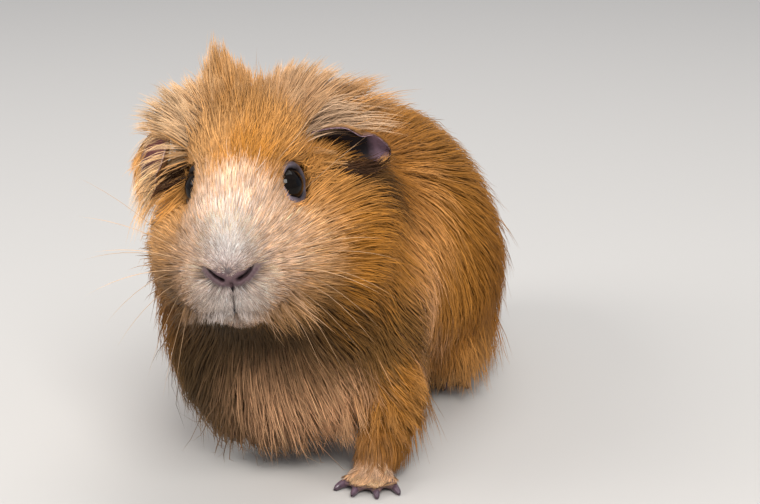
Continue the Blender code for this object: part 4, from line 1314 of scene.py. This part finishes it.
# Whiskers, in the head's frame: root and tip, with how far they sag.
WHISKERS = [
    ((13, -20, -19), (40, 0, -44), 5), ((14, -18, -22), (36, 0, -50), 6), ((12, -22, -22), (33, -8, -50), 5),
    ((15, -17, -17), (44, 12, -30), 4), ((14, -19, -25), (30, -8, -56), 5),
    ((12, -23, -18), (41, -8, -32), 4),
    ((16, -15, -20), (42, 14, -40), 5), ((13, -21, -15), (40, -2, -18), 3),
    ((11, -23, -25), (22, -14, -54), 4),
    ((-13, -20, -19), (-46, -12, -30), 4), ((-14, -18, -22), (-40, -14, -44), 5),
    ((-12, -22, -22), (-32, -20, -50), 5), ((-15, -17, -17), (-47, -6, -18), 4),
    ((-13, -20, -25), (-27, -20, -56), 4), ((-14, -18, -14), (-46, -12, -4), 3),
    ((-12, -22, -16), (-42, -20, -12), 3), ((-11, -23, -25), (-20, -24, -52), 3),
    ((-15, -15, -20), (-42, -2, -40), 5), ((-16, -13, -15), (-46, 0, 6), 3), ((11, -6, 7), (24, 0, 28), -2),
    ((-10, -6, 7), (-20, -6, 27), -2), ((20, 4, -2), (46, 28, 12), 2),
]


WHISKER_WIDTH, WHISKER_COLOUR = 0.19, linear((206, 166, 126))


def whiskers(ground, steps=7):
    """Long stiff hairs beside the nose and over the eyes."""
    paths, normals, maps = [], [], []
    for root, tip, sag in WHISKERS:
        foot, face = ground.nearest(from_head(np.array([root], float)))
        end = from_head(tip) + rng.normal(0, 1.5, 3)
        out = unit(ground.skin.normals[ground.skin.tris[face[0]]].mean(0))
        t = np.linspace(0, 1, steps + 1)[:, None]
        paths.append(foot[0] - 0.5 * out + t * (end - foot[0]) + np.array([0, 0, sag]) * (t * (1 - t) * 2.4))
        normals.append(np.tile(out, (steps + 1, 1)))
        maps.append(ground.uv[face[0]].mean(0))
    count = len(paths)
    width, tip, lock = (np.full(count, value) for value in (WHISKER_WIDTH, 0.2, 1.0))
    colour = np.tile(WHISKER_COLOUR, (count, 1))
    arrays = strands(np.array(paths), np.array(normals), width, colour, tip, lock, np.array(maps))
    return coat_piece("whiskers", "face_coat", *arrays)


# ------------------------------------------------------------------ materials


def new_material(name, roughness, specular, coat_weight=0.0):
    """A material, its node tree and its shader."""
    mat = bpy.data.materials.new(name)
    mat.use_nodes = True
    shader = mat.node_tree.nodes["Principled BSDF"]
    shader.inputs["Roughness"].default_value = roughness
    shader.inputs["Specular IOR Level"].default_value = specular
    shader.inputs["Coat Weight"].default_value = coat_weight
    return mat, mat.node_tree, shader


def noise_node(tree, scale, detail):
    """A noise over the object's own place."""
    place = tree.nodes.new("ShaderNodeTexCoord")
    noise = tree.nodes.new("ShaderNodeTexNoise")
    noise.inputs["Scale"].default_value, noise.inputs["Detail"].default_value = scale, detail
    tree.links.new(place.outputs["Object"], noise.inputs["Vector"])
    return noise.outputs["Fac"]


def coloured(tree, shader, source, scale, low, high, detail=3):
    """The shader takes the colour at source, made darker and lighter by a noise of that scale."""
    nodes, links = tree.nodes, tree.links
    spread = nodes.new("ShaderNodeMapRange")
    for socket, value in zip(("From Min", "From Max", "To Min", "To Max"), (0.3, 0.7, low, high)):
        spread.inputs[socket].default_value = value
    links.new(noise_node(tree, scale, detail), spread.inputs["Value"])
    times = nodes.new("ShaderNodeVectorMath")
    times.operation = "SCALE"
    links.new(source, times.inputs[0])
    links.new(spread.outputs["Result"], times.inputs["Scale"])
    links.new(times.outputs["Vector"], shader.inputs["Base Color"])


def painted_colour(tree):
    """The colour painted on the mesh."""
    node = tree.nodes.new("ShaderNodeAttribute")
    node.attribute_name = PAINT
    return node.outputs["Color"]


def make_coat_material(name):
    mat, tree, shader = new_material(name, 0.6, 0.14)
    coloured(tree, shader, painted_colour(tree), 260, 0.86, 1.12)
    return mat


def make_skin_material():
    mat, tree, shader = new_material("skin", 0.55, 0.35)
    coloured(tree, shader, painted_colour(tree), 900, 0.8, 1.15, 5)
    bump = tree.nodes.new("ShaderNodeBump")
    bump.inputs["Strength"].default_value, bump.inputs["Distance"].default_value = 0.5, 0.0003
    tree.links.new(noise_node(tree, 1800, 4), bump.inputs["Height"])
    tree.links.new(bump.outputs["Normal"], shader.inputs["Normal"])
    return mat


def make_eye_material():
    mat, tree, shader = new_material("eye", 0.03, 0.13)
    coloured(tree, shader, painted_colour(tree), 700, 0.8, 1.2)
    return mat


def make_claw_material():
    mat, tree, shader = new_material("claw", 0.35, 0.5, 0.2)
    plain = tree.nodes.new("ShaderNodeRGB")
    plain.outputs[0].default_value = (*linear((88, 68, 80)), 1)
    coloured(tree, shader, plain.outputs[0], 500, 0.6, 1.3)
    return mat


# ------------------------------------------------------------------ eyes and claws

PUPIL_COLOUR, EYE_EDGE_COLOUR = (0.002, 0.002, 0.003), (0.012, 0.01, 0.01)
PUPIL, IRIS = radians(17), radians(52)  # how far they reach from the middle of the eye
CLAW_LOWEST = 0.12


def make_eye(side, material, rows=40, cols=64):
    """An eyeball with a dark iris and pupil."""
    centre, out, up, forward = eye_frame(side)
    verts, tint = [centre + EYE_RADIUS * out], [PUPIL_COLOUR]
    for i in range(1, rows):
        polar = pi * i / rows
        for j in range(cols):
            a = 2 * pi * j / cols
            radial = cos(a) * forward + sin(a) * up
            verts.append(centre + EYE_RADIUS * (cos(polar) * out + sin(polar) * radial))
            ray = 0.5 + 0.5 * sin(17 * a) * sin(7 * a + 1)
            iris = (0.004 + 0.003 * ray, 0.0025 + 0.002 * ray, 0.002 + 0.001 * ray)
            tint.append(PUPIL_COLOUR if polar < PUPIL else iris if polar < IRIS else EYE_EDGE_COLOUR)
    verts.append(centre - EYE_RADIUS * out)
    tint.append(EYE_EDGE_COLOUR)
    tris = []
    for j in range(cols):
        k = (j + 1) % cols
        tris.append((0, 1 + j, 1 + k))
        for i in range(rows - 2):
            a, b = 1 + i * cols + j, 1 + i * cols + k
            tris += [(a, a + cols, b + cols), (a, b + cols, b)]
        low = 1 + (rows - 2) * cols
        tris.append((len(verts) - 1, low + k, low + j))
    verts, tris = np.array(verts), np.array(tris)
    mesh = write_mesh(f"eyeball_{side}", verts, outward(verts, tris, 0, out))
    paint(mesh, np.array(tint))
    mesh.materials.append(material)
    piece = new_object(f"eyeball_{side}", mesh)
    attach(piece, "root")
    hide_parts(f"eye_{side}")


def make_claw(name, material, rings=9, sides=14):
    """A blunt claw that curves down from its toe, in the place of its solid."""
    root, along = claw_way(name)
    across, up = np.cross(along, (0, 0, 1)), np.array([0, 0, 1.0])
    verts = []
    for i in range(rings):
        t = i / (rings - 1)
        centre = root - 1.2 * along + along * 6.0 * t + np.array([0, 0, 0.35 * sin(pi * t) - 0.75 * t * t])
        radius = (1.45 - 0.70 * t ** 1.6) * (1.0 if i < rings - 1 else 0.45)
        for j in range(sides):
            a = 2 * pi * j / sides
            verts.append(centre + radius * (0.92 * cos(a) * across + 1.08 * sin(a) * up))
    verts = np.array(verts)
    verts[:, 2] = np.maximum(verts[:, 2], CLAW_LOWEST)
    tris = lofted(verts.reshape(rings, sides, 3))[1]
    base, top = len(verts), len(verts) + 1
    verts = np.concatenate([verts, verts[:sides].mean(0)[None], verts[-sides:].mean(0)[None] + along * 0.25])
    last = (rings - 1) * sides
    caps = [(base, j, (j + 1) % sides) for j in range(sides)]
    caps += [(top, last + (j + 1) % sides, last + j) for j in range(sides)]
    tris = outward(verts, np.concatenate([tris, caps]), top, along)
    piece = new_object(f"horn_{name[5:]}", write_mesh(f"horn_{name[5:]}", verts, tris))
    piece.data.materials.append(material)
    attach(piece, "root")
    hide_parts(name)


# ------------------------------------------------------------------ the animal

UNDER_COAT_PAINTED_SHADE = 0.38  # painted shade: how dark the skin under its hair is painted, for the shade between the hairs
LENGTH_GROUPS = (5.2, 10, 19)  # of hair, from the muzzle's to the body's

make_camera()
make_studio()
verts, tris, kind, on_ear, shell = build_skin()
skin = Skin(verts, tris, kind, on_ear, shell)
skin_mesh = write_mesh("skin", verts, tris)
bare = skin.bare[:, None]
# Painted shade: under its hair the skin takes the coat's colour, darkened.
paint(skin_mesh, skin.colour * UNDER_COAT_PAINTED_SHADE * (1 - bare) + skin.bare_colour * bare)
skin_mesh.materials.append(make_skin_material())
skin_piece = new_object("skin", skin_mesh)
uv = unwrap(skin_piece)
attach(skin_piece, "root")
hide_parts(*FLESH)

eye_material, claw_material = make_eye_material(), make_claw_material()
for side in SIDES:
    make_eye(side, eye_material)
for name in CLAWS:
    make_claw(name, claw_material)

FUR = {"coat": make_coat_material("fur"), "face_coat": make_coat_material("face_fur")}
first_ear = int(np.nonzero(kind[tris[:, 0]] == EAR_KIND)[0][0])
body, ears = Ground(skin, uv, 0, first_ear), Ground(skin, uv, first_ear, len(tris))
hairy = clamp(1 - skin.bare * 1.5) * (verts[:, 2] > 1.0)
on_body = (kind != EAR_KIND) * hairy / (skin.length * hair_width(skin.length))
group = np.searchsorted(LENGTH_GROUPS, skin.length, side="right")
# The muzzle's and face's hairs are painted darker at the root, as painted shade between them.
coat("coat_muzzle", "face_coat", body, on_body * (group == 0), 36000, 1, 6, 0.45, 0.7,
     coarse=1.5, streaks=0.8, contrast=0.2, root_shade=0.2)
coat("coat_face", "face_coat", body, on_body * (group == 1), 22000, 2, 8, 0.4, 0.9,
     coarse=1.3, streaks=0.6, contrast=0.13, root_shade=0.34)
coat("coat_cheeks", "coat", body, on_body * (group == 2), 15000, 3, 12, 0.3, 1.4, streaks=0.3)
coat("coat_under", "coat", body, on_body * (group == 3), 15000, 2, 12, 0.2, 0.8, under=0.8)
coat("coat_body", "coat", body, on_body * (group == 3), 24500, 3, 14, 0.34, 1.9, under=0.0)
crest = locks("coat_crest", "coat", body, CREST, 4, 1.0, 0.2)
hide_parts("crest")
locks("coat_forehead", "coat", body, FOREHEAD, 3, 1.0, 0.04)
locks("coat_lip_locks", "face_coat", body, LIP_LOCKS, 3, 0.85, 0.0)
locks("coat_leg_locks", "coat", body, LEG_LOCKS, 3, 1.0, 0.05, of_head=False)
locks("coat_ear_locks", "coat", body, EAR_LOCKS, 4, 0.85, 0.6)
locks("coat_droop_locks", "coat", body, DROOP_LOCKS, 4, 0.85, 0.2, tint=linear((222, 180, 134)) * 0.85)
locks("coat_curl_locks", "coat", body, CURL_LOCKS, 4, 0.9, 0.1, tint=linear((220, 182, 146)) * 0.85)
# Painted shadow under the left ear, with the dark hair in front of the right ear.
locks("coat_dark_and_shadow_locks", "coat", body, DARK_AND_SHADOW_LOCKS, 3, 0.9, 0.0, tint=linear((66, 42, 24)))
locks("coat_gold_locks", "coat", body, GOLD_LOCKS, 3, 0.9, 0.0, tint=(GINGER + GOLD) * 0.45)
locks("coat_ear_edges", "coat", ears, edge_rows(), 3, 0.8, 0.0, tint=GOLD * 0.95)
locks("coat_toe_tufts", "face_coat", body, toe_rows(), 2, 0.9, 0.1, of_head=False, tint=TAN * 0.85)
coat("coat_ears", "face_coat", ears, (0.05 + (1 - on_ear[:, 0])) * (kind == EAR_KIND), 3500, 1, 6, 0.3, 0.3)
coat("coat_guard", "coat", body, on_body * (group >= 2), 5000, 3, 3, 0.2, 3.0,
     reach=1.15, under=0.0, coarse=0.6, lift=0.12)
whiskers(body)
